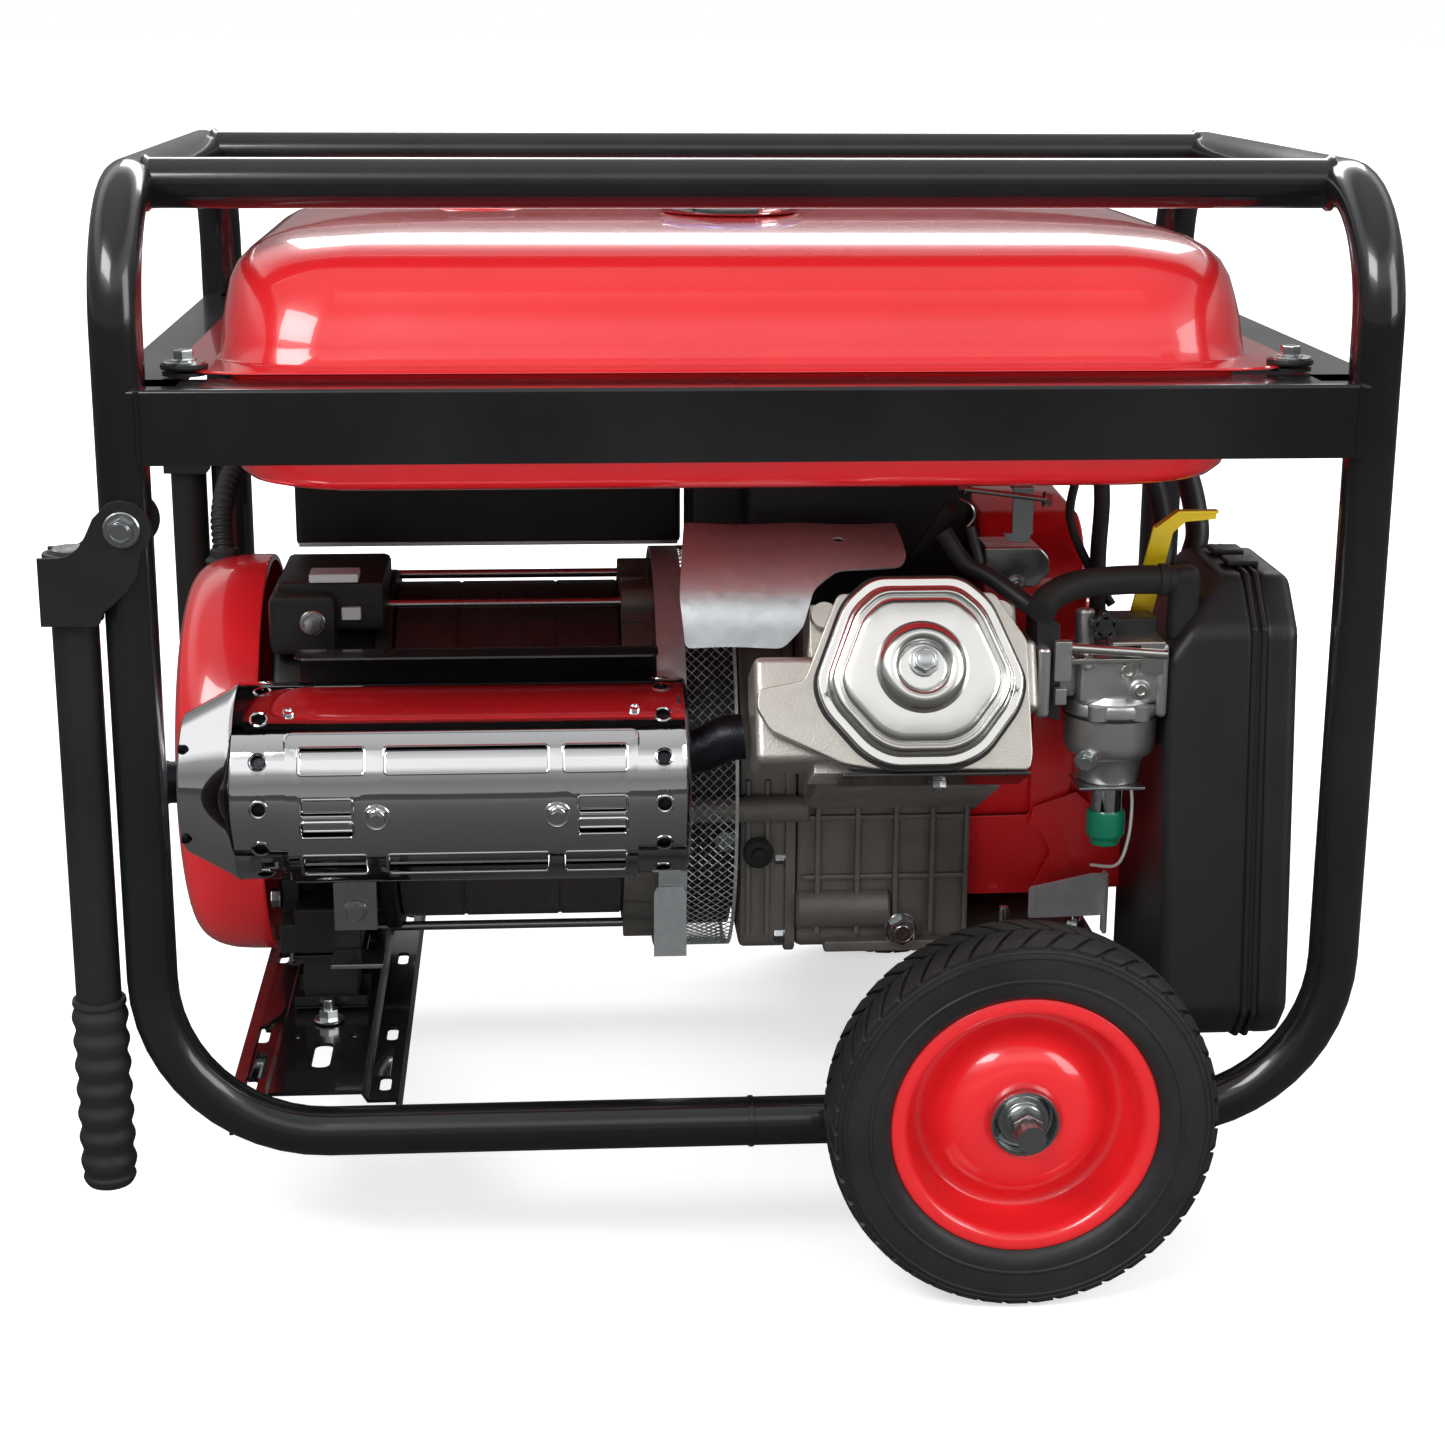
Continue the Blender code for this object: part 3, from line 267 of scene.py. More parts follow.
def pipe(points, radius, sides=16, closed=True):
    """A round bar or hose along a line of points: a ring at each point, bridged to the next."""
    shape = bmesh.new()
    points = [Vector(p) for p in points]
    sizes = radius if isinstance(radius, (list, tuple)) else [radius] * len(points)
    rings, facing = [], Vector((0, 0, 1))
    upright = Matrix()
    for i, point in enumerate(points):
        along = (points[min(i + 1, len(points) - 1)] - points[max(i - 1, 0)]).normalized()
        upright = facing.rotation_difference(along).to_matrix().to_4x4() @ upright
        facing = along
        ring = bmesh.ops.create_circle(shape, segments=sides, radius=sizes[i],
            matrix=Matrix.Translation(point) @ upright)["verts"]
        rings.append(list({e for v in ring for e in v.link_edges}))
    for first, second in zip(rings, rings[1:]):
        bmesh.ops.bridge_loops(shape, edges=first + second)
    if closed:
        bmesh.ops.holes_fill(shape, edges=rings[0] + rings[-1], sides=sides)
    return shape


def curve_through(points, steps=8):
    """Points on a smooth line through the given ones."""
    points = [Vector(p) for p in points]
    ends = [2 * points[0] - points[1]] + points + [2 * points[-1] - points[-2]]
    line = []
    for a, b, c, d in zip(ends, ends[1:], ends[2:], ends[3:]):
        for k in range(steps):
            t = k / steps
            line.append(((2 * b) + (c - a) * t + (2 * a - 5 * b + 4 * c - d) * t**2
                + (3 * b - a - 3 * c + d) * t**3) / 2)
    return line + [points[-1]]


# %% [markdown]
# A punched sheet is drawn flat: its outer outline and the outlines of its holes are filled together, which
# leaves the holes open. Cutting it across every few millimetres gives it enough vertices to be rolled
# round a cylinder afterwards, and it gets its thickness last.

# %% Punched sheets
def loop(corners, radius=0.0, steps=4):
    """A closed outline with its corners rounded, as (x, y) pairs, anticlockwise."""
    if not radius:
        return [tuple(c) for c in corners]
    line, count = [], len(corners)
    for i, corner in enumerate(corners):
        here = Vector(corner)
        back = (Vector(corners[i - 1]) - here).normalized() * radius
        on = (Vector(corners[(i + 1) % count]) - here).normalized() * radius
        for k in range(steps + 1):
            t = k / steps
            line.append(tuple(here + back * (1 - t) ** 2 + on * t**2))
    return line


def slot_loop(x, y, half_x, half_y, radius):
    """A rounded rectangular hole."""
    corners = [(x - half_x, y - half_y), (x + half_x, y - half_y), (x + half_x, y + half_y),
        (x - half_x, y + half_y)]
    return loop(corners, min(radius, half_x, half_y))


def ring_loop(x, y, radius, steps=20):
    """A round hole."""
    turns = [math.tau * k / steps for k in range(steps)]
    return [(x + radius * math.cos(a), y + radius * math.sin(a)) for a in turns]


def punched(outline, holes, cuts=()):
    """A flat face with holes, cut across at (axis, place) pairs."""
    shape = bmesh.new()
    for line in [outline, *holes]:
        corners = [shape.verts.new((x, y, 0)) for x, y in line]
        for a, b in zip(corners, corners[1:] + corners[:1]):
            shape.edges.new((a, b))
    bmesh.ops.triangle_fill(shape, edges=shape.edges[:], use_beauty=True, use_dissolve=False,
        normal=(0, 0, 1))
    for axis, at in cuts:
        spot, across = ((at, 0, 0), (1, 0, 0)) if axis == "x" else ((0, at, 0), (0, 1, 0))
        bmesh.ops.bisect_plane(shape, geom=shape.verts[:] + shape.edges[:] + shape.faces[:], plane_co=spot,
            plane_no=across, dist=MERGE)
    return shape


def sheet_metal(shape, thick, place=Matrix()):
    """Gives an open face its thickness: a copy is pulled off it along the surface's own normals."""
    bmesh.ops.recalc_face_normals(shape, faces=shape.faces)
    shape.normal_update()
    pulled = bmesh.ops.extrude_face_region(shape, geom=shape.faces[:], use_keep_orig=True)["geom"]
    faces = {f for f in pulled if isinstance(f, bmesh.types.BMFace)}
    moves = []
    for v in (v for v in pulled if isinstance(v, bmesh.types.BMVert)):
        slope = sum((f.normal * f.calc_area() for f in v.link_faces if f in faces), Vector())
        moves.append((v, slope.normalized() * thick))
    for v, step in moves:
        v.co += step
    return moved(shape, place)


# %% [markdown]
# Fasteners hold the whole machine together and catch the light everywhere, so they are worth one good
# helper: a flange turned on a lathe, six flats on a short cone with a chamfered top, and the stub of
# thread that stands out of a nut.

# %% Fasteners
def fastener(centre, axis, across=0.01, height=0.006, flange=1.35, stud=0.0, recess=False):
    """A flanged hexagon bolt or nut, its flange on the surface at its centre."""
    corner, lip = across / 2 / math.cos(math.pi / 6), across * 0.11
    parts = []
    wide = across / 2 * flange
    parts.append(turned([(0, 0), (wide, 0), (wide, lip * 0.6), (wide * 0.93, lip), (0, lip)], 28))
    head = bmesh.new()
    bmesh.ops.create_cone(head, cap_ends=True, segments=6, radius1=corner, radius2=corner, depth=height,
        matrix=shift(0, 0, lip + height / 2))
    top = [e for e in head.edges if all(v.co.z > lip + height * 0.9 for v in e.verts)]
    rounded(head, top, across * 0.07, 2)
    parts.append(head)
    crown = lip + height
    if stud:
        r = across * 0.3
        parts.append(turned([(0, crown - 0.001), (r, crown - 0.001), (r, crown + stud * 0.8),
            (r * 0.8, crown + stud), (0, crown + stud)], 20))
    if recess:
        r = across * 0.36
        parts.append(turned([(0, crown + 0.0002), (r * 0.9, crown + 0.0002), (r, crown - 0.0002),
            (r * 1.1, crown + 0.0004), (r * 1.2, crown - 0.0006), (0, crown - 0.0008)], 20))
    return moved(gather(*parts), aim(centre, axis))


def cap_screw(centre, axis, radius=0.004, height=0.004):
    """A round-headed screw with a hexagon socket."""
    depth = height * 0.6
    head = turned([(0, 0), (radius, 0), (radius, height * 0.8), (radius * 0.85, height),
        (radius * 0.62, height), (radius * 0.55, height - depth), (0, height - depth)], 24)
    return moved(head, aim(centre, axis))


def washer(centre, axis, radius, bore, thick):
    """A plain washer."""
    lip = thick * 0.25
    return moved(turned([(bore, 0), (radius, 0), (radius, thick - lip), (radius - lip, thick), (bore, thick),
        (bore, 0)], 32), aim(centre, axis))


# %% [markdown]
# ## Finishes
# Three effects recur on this machine, so each is built once as a node group and used with its own numbers:
# a skin that breaks up colour and gloss in soft clouds and adds a fine grain, a spangle for zinc and
# galvanised steel, and a film of dust that settles on what faces up. Groups give out only colours, values
# and heights, and the shader itself stays in each finish, where its plain numbers can be set.

# %% Start a node group
def new_group(name, inputs, outputs):
    """An empty shader node group with named sockets."""
    group = bpy.data.node_groups.new(name, "ShaderNodeTree")
    for label, kind, value in inputs:
        socket = group.interface.new_socket(label, in_out="INPUT", socket_type=f"NodeSocket{kind}")
        socket.default_value = value
    for label, kind in outputs:
        group.interface.new_socket(label, in_out="OUTPUT", socket_type=f"NodeSocket{kind}")
    return group, group.nodes.new("NodeGroupInput"), group.nodes.new("NodeGroupOutput")


def texture(tree, kind, scale, **values):
    """A texture node on Object coordinates; its scale is a number or a socket."""
    place = tree.nodes.new("ShaderNodeTexCoord")
    node = tree.nodes.new(kind)
    tree.links.new(place.outputs["Object"], node.inputs["Vector"])
    if isinstance(scale, bpy.types.NodeSocket):
        tree.links.new(scale, node.inputs["Scale"])
    else:
        node.inputs["Scale"].default_value = scale
    for label, value in values.items():
        node.inputs[label].default_value = value
    return node


def spread(tree, value, low, high, to_low=0.0, to_high=1.0):
    """Maps a value from one range to another; each end of the second may be a socket."""
    node = tree.nodes.new("ShaderNodeMapRange")
    tree.links.new(value, node.inputs["Value"])
    for label, end in (("From Min", low), ("From Max", high), ("To Min", to_low), ("To Max", to_high)):
        if isinstance(end, bpy.types.NodeSocket):
            tree.links.new(end, node.inputs[label])
        else:
            node.inputs[label].default_value = end
    return node.outputs["Result"]


def mixed(tree, share, first, second):
    """A colour between two colours, by a share; each may be a socket or plain numbers."""
    node = tree.nodes.new("ShaderNodeMix")
    node.data_type = "RGBA"
    ports = [s for s in node.inputs if s.enabled]
    for port, value in zip(ports, (share, first, second)):
        if isinstance(value, bpy.types.NodeSocket):
            tree.links.new(value, port)
        else:
            port.default_value = value if isinstance(value, float) else (*value[:3], 1)
    return [s for s in node.outputs if s.enabled][0]


# %% Group one: a skin of clouds and fine grain
skin, skin_in, skin_out = new_group("skin", [("Colour", "Color", (0.5, 0.5, 0.5, 1)),
    ("Second Colour", "Color", (0.4, 0.4, 0.4, 1)), ("Smooth", "Float", 0.2), ("Rough", "Float", 0.3),
    ("Clouds", "Float", 9.0), ("Grain", "Float", 900.0)], [("Colour", "Color"), ("Roughness", "Float"),
    ("Height", "Float")])
clouds = texture(skin, "ShaderNodeTexNoise", skin_in.outputs["Clouds"], Detail=4.0, Roughness=0.55)
grains = texture(skin, "ShaderNodeTexNoise", skin_in.outputs["Grain"], Detail=2.0)
share = spread(skin, clouds.outputs["Fac"], 0.35, 0.65)
skin.links.new(mixed(skin, share, skin_in.outputs["Colour"], skin_in.outputs["Second Colour"]),
    skin_out.inputs["Colour"])
skin.links.new(spread(skin, clouds.outputs["Fac"], 0.3, 0.7, skin_in.outputs["Smooth"],
    skin_in.outputs["Rough"]), skin_out.inputs["Roughness"])
skin.links.new(grains.outputs["Fac"], skin_out.inputs["Height"])
print("skin group:", len(skin.nodes), "nodes")

# %% Group two: zinc spangle
spangle, spangle_in, spangle_out = new_group("spangle", [("Colour", "Color", (0.6, 0.6, 0.6, 1)),
    ("Second Colour", "Color", (0.4, 0.4, 0.4, 1)), ("Size", "Float", 120.0)],
    [("Colour", "Color"), ("Roughness", "Float"), ("Height", "Float")])
flakes = texture(spangle, "ShaderNodeTexVoronoi", spangle_in.outputs["Size"])
streaks = texture(spangle, "ShaderNodeTexNoise", 40.0, Detail=5.0)
tone = spangle.nodes.new("ShaderNodeSeparateColor")
spangle.links.new(flakes.outputs["Color"], tone.inputs[0])
spangle.links.new(mixed(spangle, tone.outputs[0], spangle_in.outputs["Colour"],
    spangle_in.outputs["Second Colour"]), spangle_out.inputs["Colour"])
spangle.links.new(spread(spangle, tone.outputs[1], 0.0, 1.0, 0.32, 0.46), spangle_out.inputs["Roughness"])
spangle.links.new(streaks.outputs["Fac"], spangle_out.inputs["Height"])
print("spangle group:", len(spangle.nodes), "nodes")

# %% Group three: dust on what faces up
dust, dust_in, dust_out = new_group("dust", [("Colour", "Color", (0.1, 0.1, 0.1, 1)),
    ("Amount", "Float", 0.2)], [("Colour", "Color"), ("Mask", "Float")])
facing = dust.nodes.new("ShaderNodeNewGeometry")
upward = dust.nodes.new("ShaderNodeSeparateXYZ")
dust.links.new(facing.outputs["Normal"], upward.inputs[0])
patches = texture(dust, "ShaderNodeTexNoise", 35.0, Detail=6.0, Roughness=0.7)
lying = spread(dust, upward.outputs["Z"], 0.1, 1.0)
broken = spread(dust, patches.outputs["Fac"], 0.35, 0.75)
both = dust.nodes.new("ShaderNodeMath")
both.operation = "MULTIPLY"
dust.links.new(lying, both.inputs[0])
dust.links.new(broken, both.inputs[1])
settled = dust.nodes.new("ShaderNodeMath")
settled.operation = "MULTIPLY"
dust.links.new(both.outputs[0], settled.inputs[0])
dust.links.new(dust_in.outputs["Amount"], settled.inputs[1])
dust.links.new(mixed(dust, settled.outputs[0], dust_in.outputs["Colour"], (0.45, 0.42, 0.38)),
    dust_out.inputs["Colour"])
dust.links.new(settled.outputs[0], dust_out.inputs["Mask"])
print("dust group:", len(dust.nodes), "nodes")

# %% [markdown]
# A finish is a Principled shader fed by one of those groups. Its metallic, coat and coat roughness are the
# same all over, so they are set on the shader's own sockets. The bump is tiny: paint has the faint ripple
# called orange peel, castings a sandy grain, moulded plastic a spark-eroded texture.

# %% Make a finish
def finish(name, colour, second, smooth, rough, clouds=9.0, grain=900.0, bump=0.0002, metallic=0.0, coat=0.0,
        coat_rough=0.05, specular=0.5, dusty=0.0, zinc=0.0):
    """A Principled finish fed by the skin group, or by the spangle group where it is zinc."""
    made = bpy.data.materials.new(name)
    made.use_nodes = True
    tree = made.node_tree
    shader = tree.nodes["Principled BSDF"]
    feed = tree.nodes.new("ShaderNodeGroup")
    feed.node_tree = spangle if zinc else skin
    feed.inputs["Colour"].default_value = (*colour, 1)
    feed.inputs["Second Colour"].default_value = (*second, 1)
    if zinc:
        feed.inputs["Size"].default_value = zinc
    else:
        for label, value in (("Smooth", smooth), ("Rough", rough), ("Clouds", clouds), ("Grain", grain)):
            feed.inputs[label].default_value = value
    surface = feed.outputs["Colour"]
    if dusty:
        film = tree.nodes.new("ShaderNodeGroup")
        film.node_tree = dust
        film.inputs["Amount"].default_value = dusty
        tree.links.new(surface, film.inputs["Colour"])
        surface = film.outputs["Colour"]
    tree.links.new(surface, shader.inputs["Base Color"])
    tree.links.new(feed.outputs["Roughness"], shader.inputs["Roughness"])
    ripple = tree.nodes.new("ShaderNodeBump")
    ripple.inputs["Strength"].default_value = 0.6
    ripple.inputs["Distance"].default_value = bump
    tree.links.new(feed.outputs["Height"], ripple.inputs["Height"])
    tree.links.new(ripple.outputs["Normal"], shader.inputs["Normal"])
    shader.inputs["Metallic"].default_value = metallic
    shader.inputs["Coat Weight"].default_value = coat
    shader.inputs["Coat Roughness"].default_value = coat_rough
    shader.inputs["Specular IOR Level"].default_value = specular
    print(name, "finish")
    return made


black_enamel = finish("black_enamel", (0.006, 0.006, 0.007), (0.01, 0.01, 0.011), 0.16, 0.26, grain=160.0,
    bump=0.00008, coat=0.6, coat_rough=0.06)
satin_black = finish("satin_black", (0.011, 0.011, 0.011), (0.016, 0.015, 0.015), 0.34, 0.46, grain=700.0,
    bump=0.0001, specular=0.4, dusty=0.03)
red_enamel = finish("red_enamel", (0.78, 0.018, 0.024), (0.72, 0.013, 0.018), 0.22, 0.3, grain=110.0,
    bump=0.0001, coat=1.0, coat_rough=0.04)
chrome = finish("chrome", (0.86, 0.86, 0.87), (0.82, 0.82, 0.83), 0.03, 0.07, grain=60.0, bump=0.00005,
    metallic=1.0)
polished = finish("polished_cover", (0.9, 0.89, 0.86), (0.84, 0.83, 0.79), 0.2, 0.27, grain=300.0,
    bump=0.00004, metallic=1.0)
zinc_plate = finish("zinc_plate", (0.66, 0.69, 0.7), (0.56, 0.58, 0.58), 0.18, 0.3, clouds=60.0, grain=400.0,
    bump=0.00006, metallic=1.0)
galvanised = finish("galvanised", (0.74, 0.78, 0.79), (0.66, 0.7, 0.72), 0, 0, metallic=0.72, bump=0.0002,
    zinc=150.0)
cast_grey = finish("cast_aluminium", (0.2, 0.185, 0.165), (0.15, 0.14, 0.125), 0.46, 0.62, clouds=25.0,
    grain=1100.0, bump=0.0005, metallic=0.55, dusty=0.1)
head_metal = finish("head_casting", (0.66, 0.63, 0.58), (0.56, 0.53, 0.48), 0.34, 0.5, clouds=20.0,
    grain=900.0, bump=0.0004, metallic=0.9)
die_cast = finish("die_cast", (0.72, 0.72, 0.72), (0.62, 0.62, 0.62), 0.3, 0.44, clouds=40.0, grain=1300.0,
    bump=0.0002, metallic=0.95)
steel = finish("turned_steel", (0.5, 0.5, 0.5), (0.42, 0.42, 0.42), 0.22, 0.34, clouds=50.0, metallic=1.0)
burnt_steel = finish("burnt_steel", (0.03, 0.034, 0.042), (0.018, 0.018, 0.022), 0.28, 0.42, clouds=50.0,
    grain=600.0, bump=0.0003, metallic=0.8)
copper = finish("copper_winding", (0.55, 0.2, 0.07), (0.42, 0.13, 0.05), 0.26, 0.38, clouds=70.0,
    metallic=0.9)
rubber = finish("rubber", (0.013, 0.013, 0.013), (0.019, 0.018, 0.018), 0.5, 0.66, grain=1400.0, bump=0.0003,
    specular=0.35, dusty=0.05)
tyre_rubber = finish("tyre_rubber", (0.013, 0.013, 0.014), (0.021, 0.02, 0.02), 0.4, 0.58, clouds=14.0,
    grain=800.0, bump=0.0003, specular=0.42, dusty=0.05)
black_plastic = finish("black_plastic", (0.013, 0.013, 0.014), (0.016, 0.016, 0.017), 0.36, 0.44,
    grain=1500.0, bump=0.00022, specular=0.45)
grey_plastic = finish("grey_plastic", (0.52, 0.53, 0.54), (0.47, 0.48, 0.49), 0.38, 0.48, grain=1200.0,
    bump=0.0002)
yellow_paint = finish("yellow_paint", (0.93, 0.68, 0.012), (0.86, 0.6, 0.01), 0.25, 0.34, grain=300.0,
    bump=0.0001, coat=0.5, coat_rough=0.1)
green_plastic = finish("green_plastic", (0.004, 0.19, 0.1), (0.004, 0.15, 0.08), 0.26, 0.36, coat=0.3)
red_plastic = finish("red_plastic", (0.55, 0.012, 0.018), (0.5, 0.01, 0.015), 0.26, 0.34, coat=0.4)
foam = finish("filter_foam", (0.16, 0.14, 0.09), (0.11, 0.1, 0.07), 0.85, 0.95, grain=600.0, bump=0.0012)
gasket = finish("gasket", (0.01, 0.01, 0.01), (0.016, 0.016, 0.016), 0.55, 0.7, bump=0.0002)
blue_film = finish("blue_film", (0.03, 0.11, 0.42), (0.16, 0.3, 0.66), 0.1, 0.25, clouds=120.0, grain=140.0,
    bump=0.0012, metallic=0.35, coat=1.0, coat_rough=0.03)
dark_sheet = finish("dark_sheet", (0.01, 0.009, 0.01), (0.016, 0.013, 0.013), 0.16, 0.28, grain=120.0,
    bump=0.0002, coat=0.5, coat_rough=0.08)
white_wire = finish("white_wire", (0.72, 0.72, 0.7), (0.66, 0.66, 0.64), 0.35, 0.45)

# %% [markdown]
# The alternator's core is a stack of thin steel stampings, so its stripes run round it, one beside the
# next along the shaft. A fine wave along X, broken up by noise, makes them; it also lifts the bump.

# %% Laminations
laminations = finish("laminations", (0.03, 0.024, 0.024), (0.05, 0.042, 0.042), 0.3, 0.44, clouds=60.0,
    metallic=0.6)
tree = laminations.node_tree
shader = tree.nodes["Principled BSDF"]
stack = texture(tree, "ShaderNodeTexWave", 260.0, Distortion=0.4, Detail=2.0)
stack.bands_direction = "X"
sheen = spread(tree, stack.outputs["Fac"], 0.2, 0.9)
feed_colour = shader.inputs["Base Color"].links[0].from_socket
tree.links.new(mixed(tree, sheen, feed_colour, (0.135, 0.12, 0.118)), shader.inputs["Base Color"])
tree.links.new(stack.outputs["Fac"], tree.nodes["Bump"].inputs["Height"])
print("laminations:", len(tree.nodes), "nodes")

# %% [markdown]
# The floor is white to look at but must not light up the gloss black from below, so the Light Path node
# makes it dark for mirror reflections and an ordinary white for everything else. It glows more with
# distance, and the room is plain white for the eye, so that the horizon disappears.

# %% Floor
white = bpy.data.materials.new("floor")
white.use_nodes = True
tree = white.node_tree
shader = tree.nodes["Principled BSDF"]
path = tree.nodes.new("ShaderNodeLightPath")
reach = tree.nodes.new("ShaderNodeVectorMath")
reach.operation = "LENGTH"
tree.links.new(tree.nodes.new("ShaderNodeTexCoord").outputs["Object"], reach.inputs[0])
far = spread(tree, reach.outputs["Value"], 0.9, 3.5)
NEAR_GLOW, FAR_GLOW, MIRRORED = 0.58, 1.0, 0.07
tree.links.new(mixed(tree, path.outputs["Is Glossy Ray"], (0.88,) * 3, (MIRRORED,) * 3),
    shader.inputs["Base Color"])
glow = mixed(tree, far, (NEAR_GLOW,) * 3, (FAR_GLOW,) * 3)
tree.links.new(mixed(tree, path.outputs["Is Camera Ray"], (0.0,) * 3, glow), shader.inputs["Emission Color"])
shader.inputs["Emission Strength"].default_value = 1.0
shader.inputs["Roughness"].default_value = 0.9
shader.inputs["Specular IOR Level"].default_value = 0.1
ground = bmesh.new()
bmesh.ops.create_grid(ground, x_segments=1, y_segments=1, size=60, matrix=shift(0, 0,
    DATUM.z + FLOOR - 0.0003))
sheet = bpy.data.meshes.new("floor")
ground.to_mesh(sheet)
ground.free()
sheet.materials.append(white)
floor = bpy.data.objects.new("floor", sheet)
scene.collection.objects.link(floor)
seen = sky.nodes.new("ShaderNodeLightPath").outputs["Is Camera Ray"]
sky.links.new(mixed(sky, seen, bands.outputs["Color"], (1.0,) * 3), backdrop.inputs["Color"])
print("floor at", round(DATUM.z + FLOOR, 4))

# %% [markdown]
# ## Parts whose shape is right already
# Every fixed part gets its finish from one list. The hidden ones, such as the rotor and the crankshaft, stay
# as they are. Most of the others are replaced further on by finer pieces of the same size.

# %% Dress the fixed parts
WEARS = {
    black_enamel: ("frame_tube_left frame_tube_right top_rail_front top_rail_rear tank_tray "
                   "cross_member_alternator cross_member_engine mount_alternator_front"),
    satin_black: ("handle_arm_front handle_arm_rear alternator_rear_bracket alternator_front_bracket "
                  "control_box"),
    red_enamel: "fuel_tank rim_front rim_rear alternator_end_cover blower_housing recoil_starter",
    chrome: "muffler muffler_heat_shield fuel_cap",
    zinc_plate: "handle_pivot_bolt_front handle_pivot_bolt_rear wheel_axle fuel_solenoid",
    galvanised: "exhaust_heat_shield coupling_guard",
    cast_grey: "crankcase crankcase_cover cooling_fan",
    head_metal: "cylinder_head",
    die_cast: "carburettor float_bowl flywheel",
    polished: "valve_cover",
    steel: "crankshaft recoil_pulley",
    laminations: "stator_core",
    copper: "rotor",
    rubber: ("mount_alternator_rear mount_engine_front mount_engine_rear handle_grip_front handle_grip_rear "
             "fuel_hose breather_tube conduit"),
    tyre_rubber: "tyre_front tyre_rear",
    black_plastic: ("air_cleaner_case air_cleaner_cover engine_switch breaker_toggle "
                    "recoil_grip"),
    grey_plastic: "socket_lid_1 socket_lid_2",
    yellow_paint: "choke_lever",
    foam: "air_filter",
    dark_sheet: "muffler_inner_guard",
}
for made, names in WEARS.items():
    for name in names.split():
        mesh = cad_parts[name].data
        mesh.materials.clear()
        mesh.materials.append(made)
bare = set(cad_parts) - {name for names in WEARS.values() for name in names.split()}
print(len(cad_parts) - len(bare), "parts dressed, left bare:", sorted(bare))


# %% [markdown]
# ## The frame
# Two long tubes are each bent into a loop: along the ground, up, over the top, down and back. A bent tube
# is a circle carried along a path, and a path's corners become arcs, so one helper turns a few corner
# points and their bend radii into the line that the tube follows. Forty sides keep its outline smooth.

# %% Bend a path
def bent_path(corners, radii, steps=12):
    """The corners of a path, with each inner one replaced by an arc of its radius."""
    corners = [Vector(c) for c in corners]
    path = [corners[0]]
    for before, here, after, radius in zip(corners, corners[1:], corners[2:], radii):
        back, on = (before - here).normalized(), (after - here).normalized()
        half = back.angle(on) / 2
        start, end = here + back * radius / math.tan(half), here + on * radius / math.tan(half)
        middle = here + (back + on).normalized() * radius / math.sin(half)
        reach = (start - middle).length
        first, last = (start - middle).normalized(), (end - middle).normalized()
        path += [middle + first.slerp(last, k / steps).normalized() * reach for k in range(steps + 1)]
    return path + [corners[-1]]


# %% Frame loops and top rails
TUBE, SIDE_X, SIDE_Y, TOP = 0.014, 0.336, 0.234, 0.526
RAIL_Y = 0.1545
for side, word in ((-1, "left"), (1, "right")):
    x = side * SIDE_X
    corners = [(0, -SIDE_Y, 0), (x, -SIDE_Y, 0), (x, -SIDE_Y, TOP), (x, SIDE_Y, TOP), (x, SIDE_Y, 0),
        (0, SIDE_Y, 0)]
    loop_path = bent_path(corners, (0.095, 0.072, 0.072, 0.095))
    keep(f"frame_loop_{word}", pipe(loop_path, TUBE, 40), black_enamel,
        stands_for=[f"frame_tube_{word}"])
for end, y in (("front", -RAIL_Y), ("rear", RAIL_Y)):
    bar = pipe([(-SIDE_X + 0.01, y, TOP), (SIDE_X - 0.01, y, TOP)], TUBE - 0.0002, 40)
    welds = [turned([(TUBE - 0.002, 0), (TUBE + 0.0014, 0.0008), (TUBE + 0.0016, 0.0026),
        (TUBE - 0.0002, 0.0048)], 40, aim((side * (SIDE_X - 0.0062), y, TOP), (-side, 0, 0)))
        for side in (-1, 1)]
    keep(f"rail_{end}", gather(bar, *welds), black_enamel, stands_for=[f"top_rail_{end}"])
joint = [turned([(TUBE - 0.001, -0.0022), (TUBE + 0.0007, -0.0014), (TUBE + 0.0009, 0),
    (TUBE + 0.0007, 0.0014), (TUBE - 0.001, 0.0022)], 40, aim((0, y, 0), (1, 0, 0)))
    for y in (-SIDE_Y, SIDE_Y)]
keep("frame_seam_welds", gather(*joint), black_enamel)

# %% [markdown]
# The tray is four lengths of angle iron welded round the uprights. Its face is a flat strip 40 mm tall,
# and a shelf turns inwards from its top edge to carry the tank. An angle is a bent outline, so each length
# is a plate of that outline raised along its run, with the outside corner rounded as rolled steel is.

# %% Tank tray
TRAY_LOW, TRAY_TOP, LEG, THICK = 0.386, 0.426, 0.04, 0.004
FACE_X, FACE_Y = 0.347, 0.247
angle_iron = [(0, 0), (THICK, 0), (THICK, LEG - THICK), (LEG, LEG - THICK), (LEG, LEG), (0, LEG)]


def angle_run(length, corner, along, inward):
    """A length of angle iron from a corner point, its shelf pointing inward."""
    along, inward = Vector(along), Vector(inward)
    basis = Matrix((inward, (0, 0, 1), along)).transposed().to_4x4()
    return plate(angle_iron, length, 0.0, Matrix.Translation(corner) @ basis)


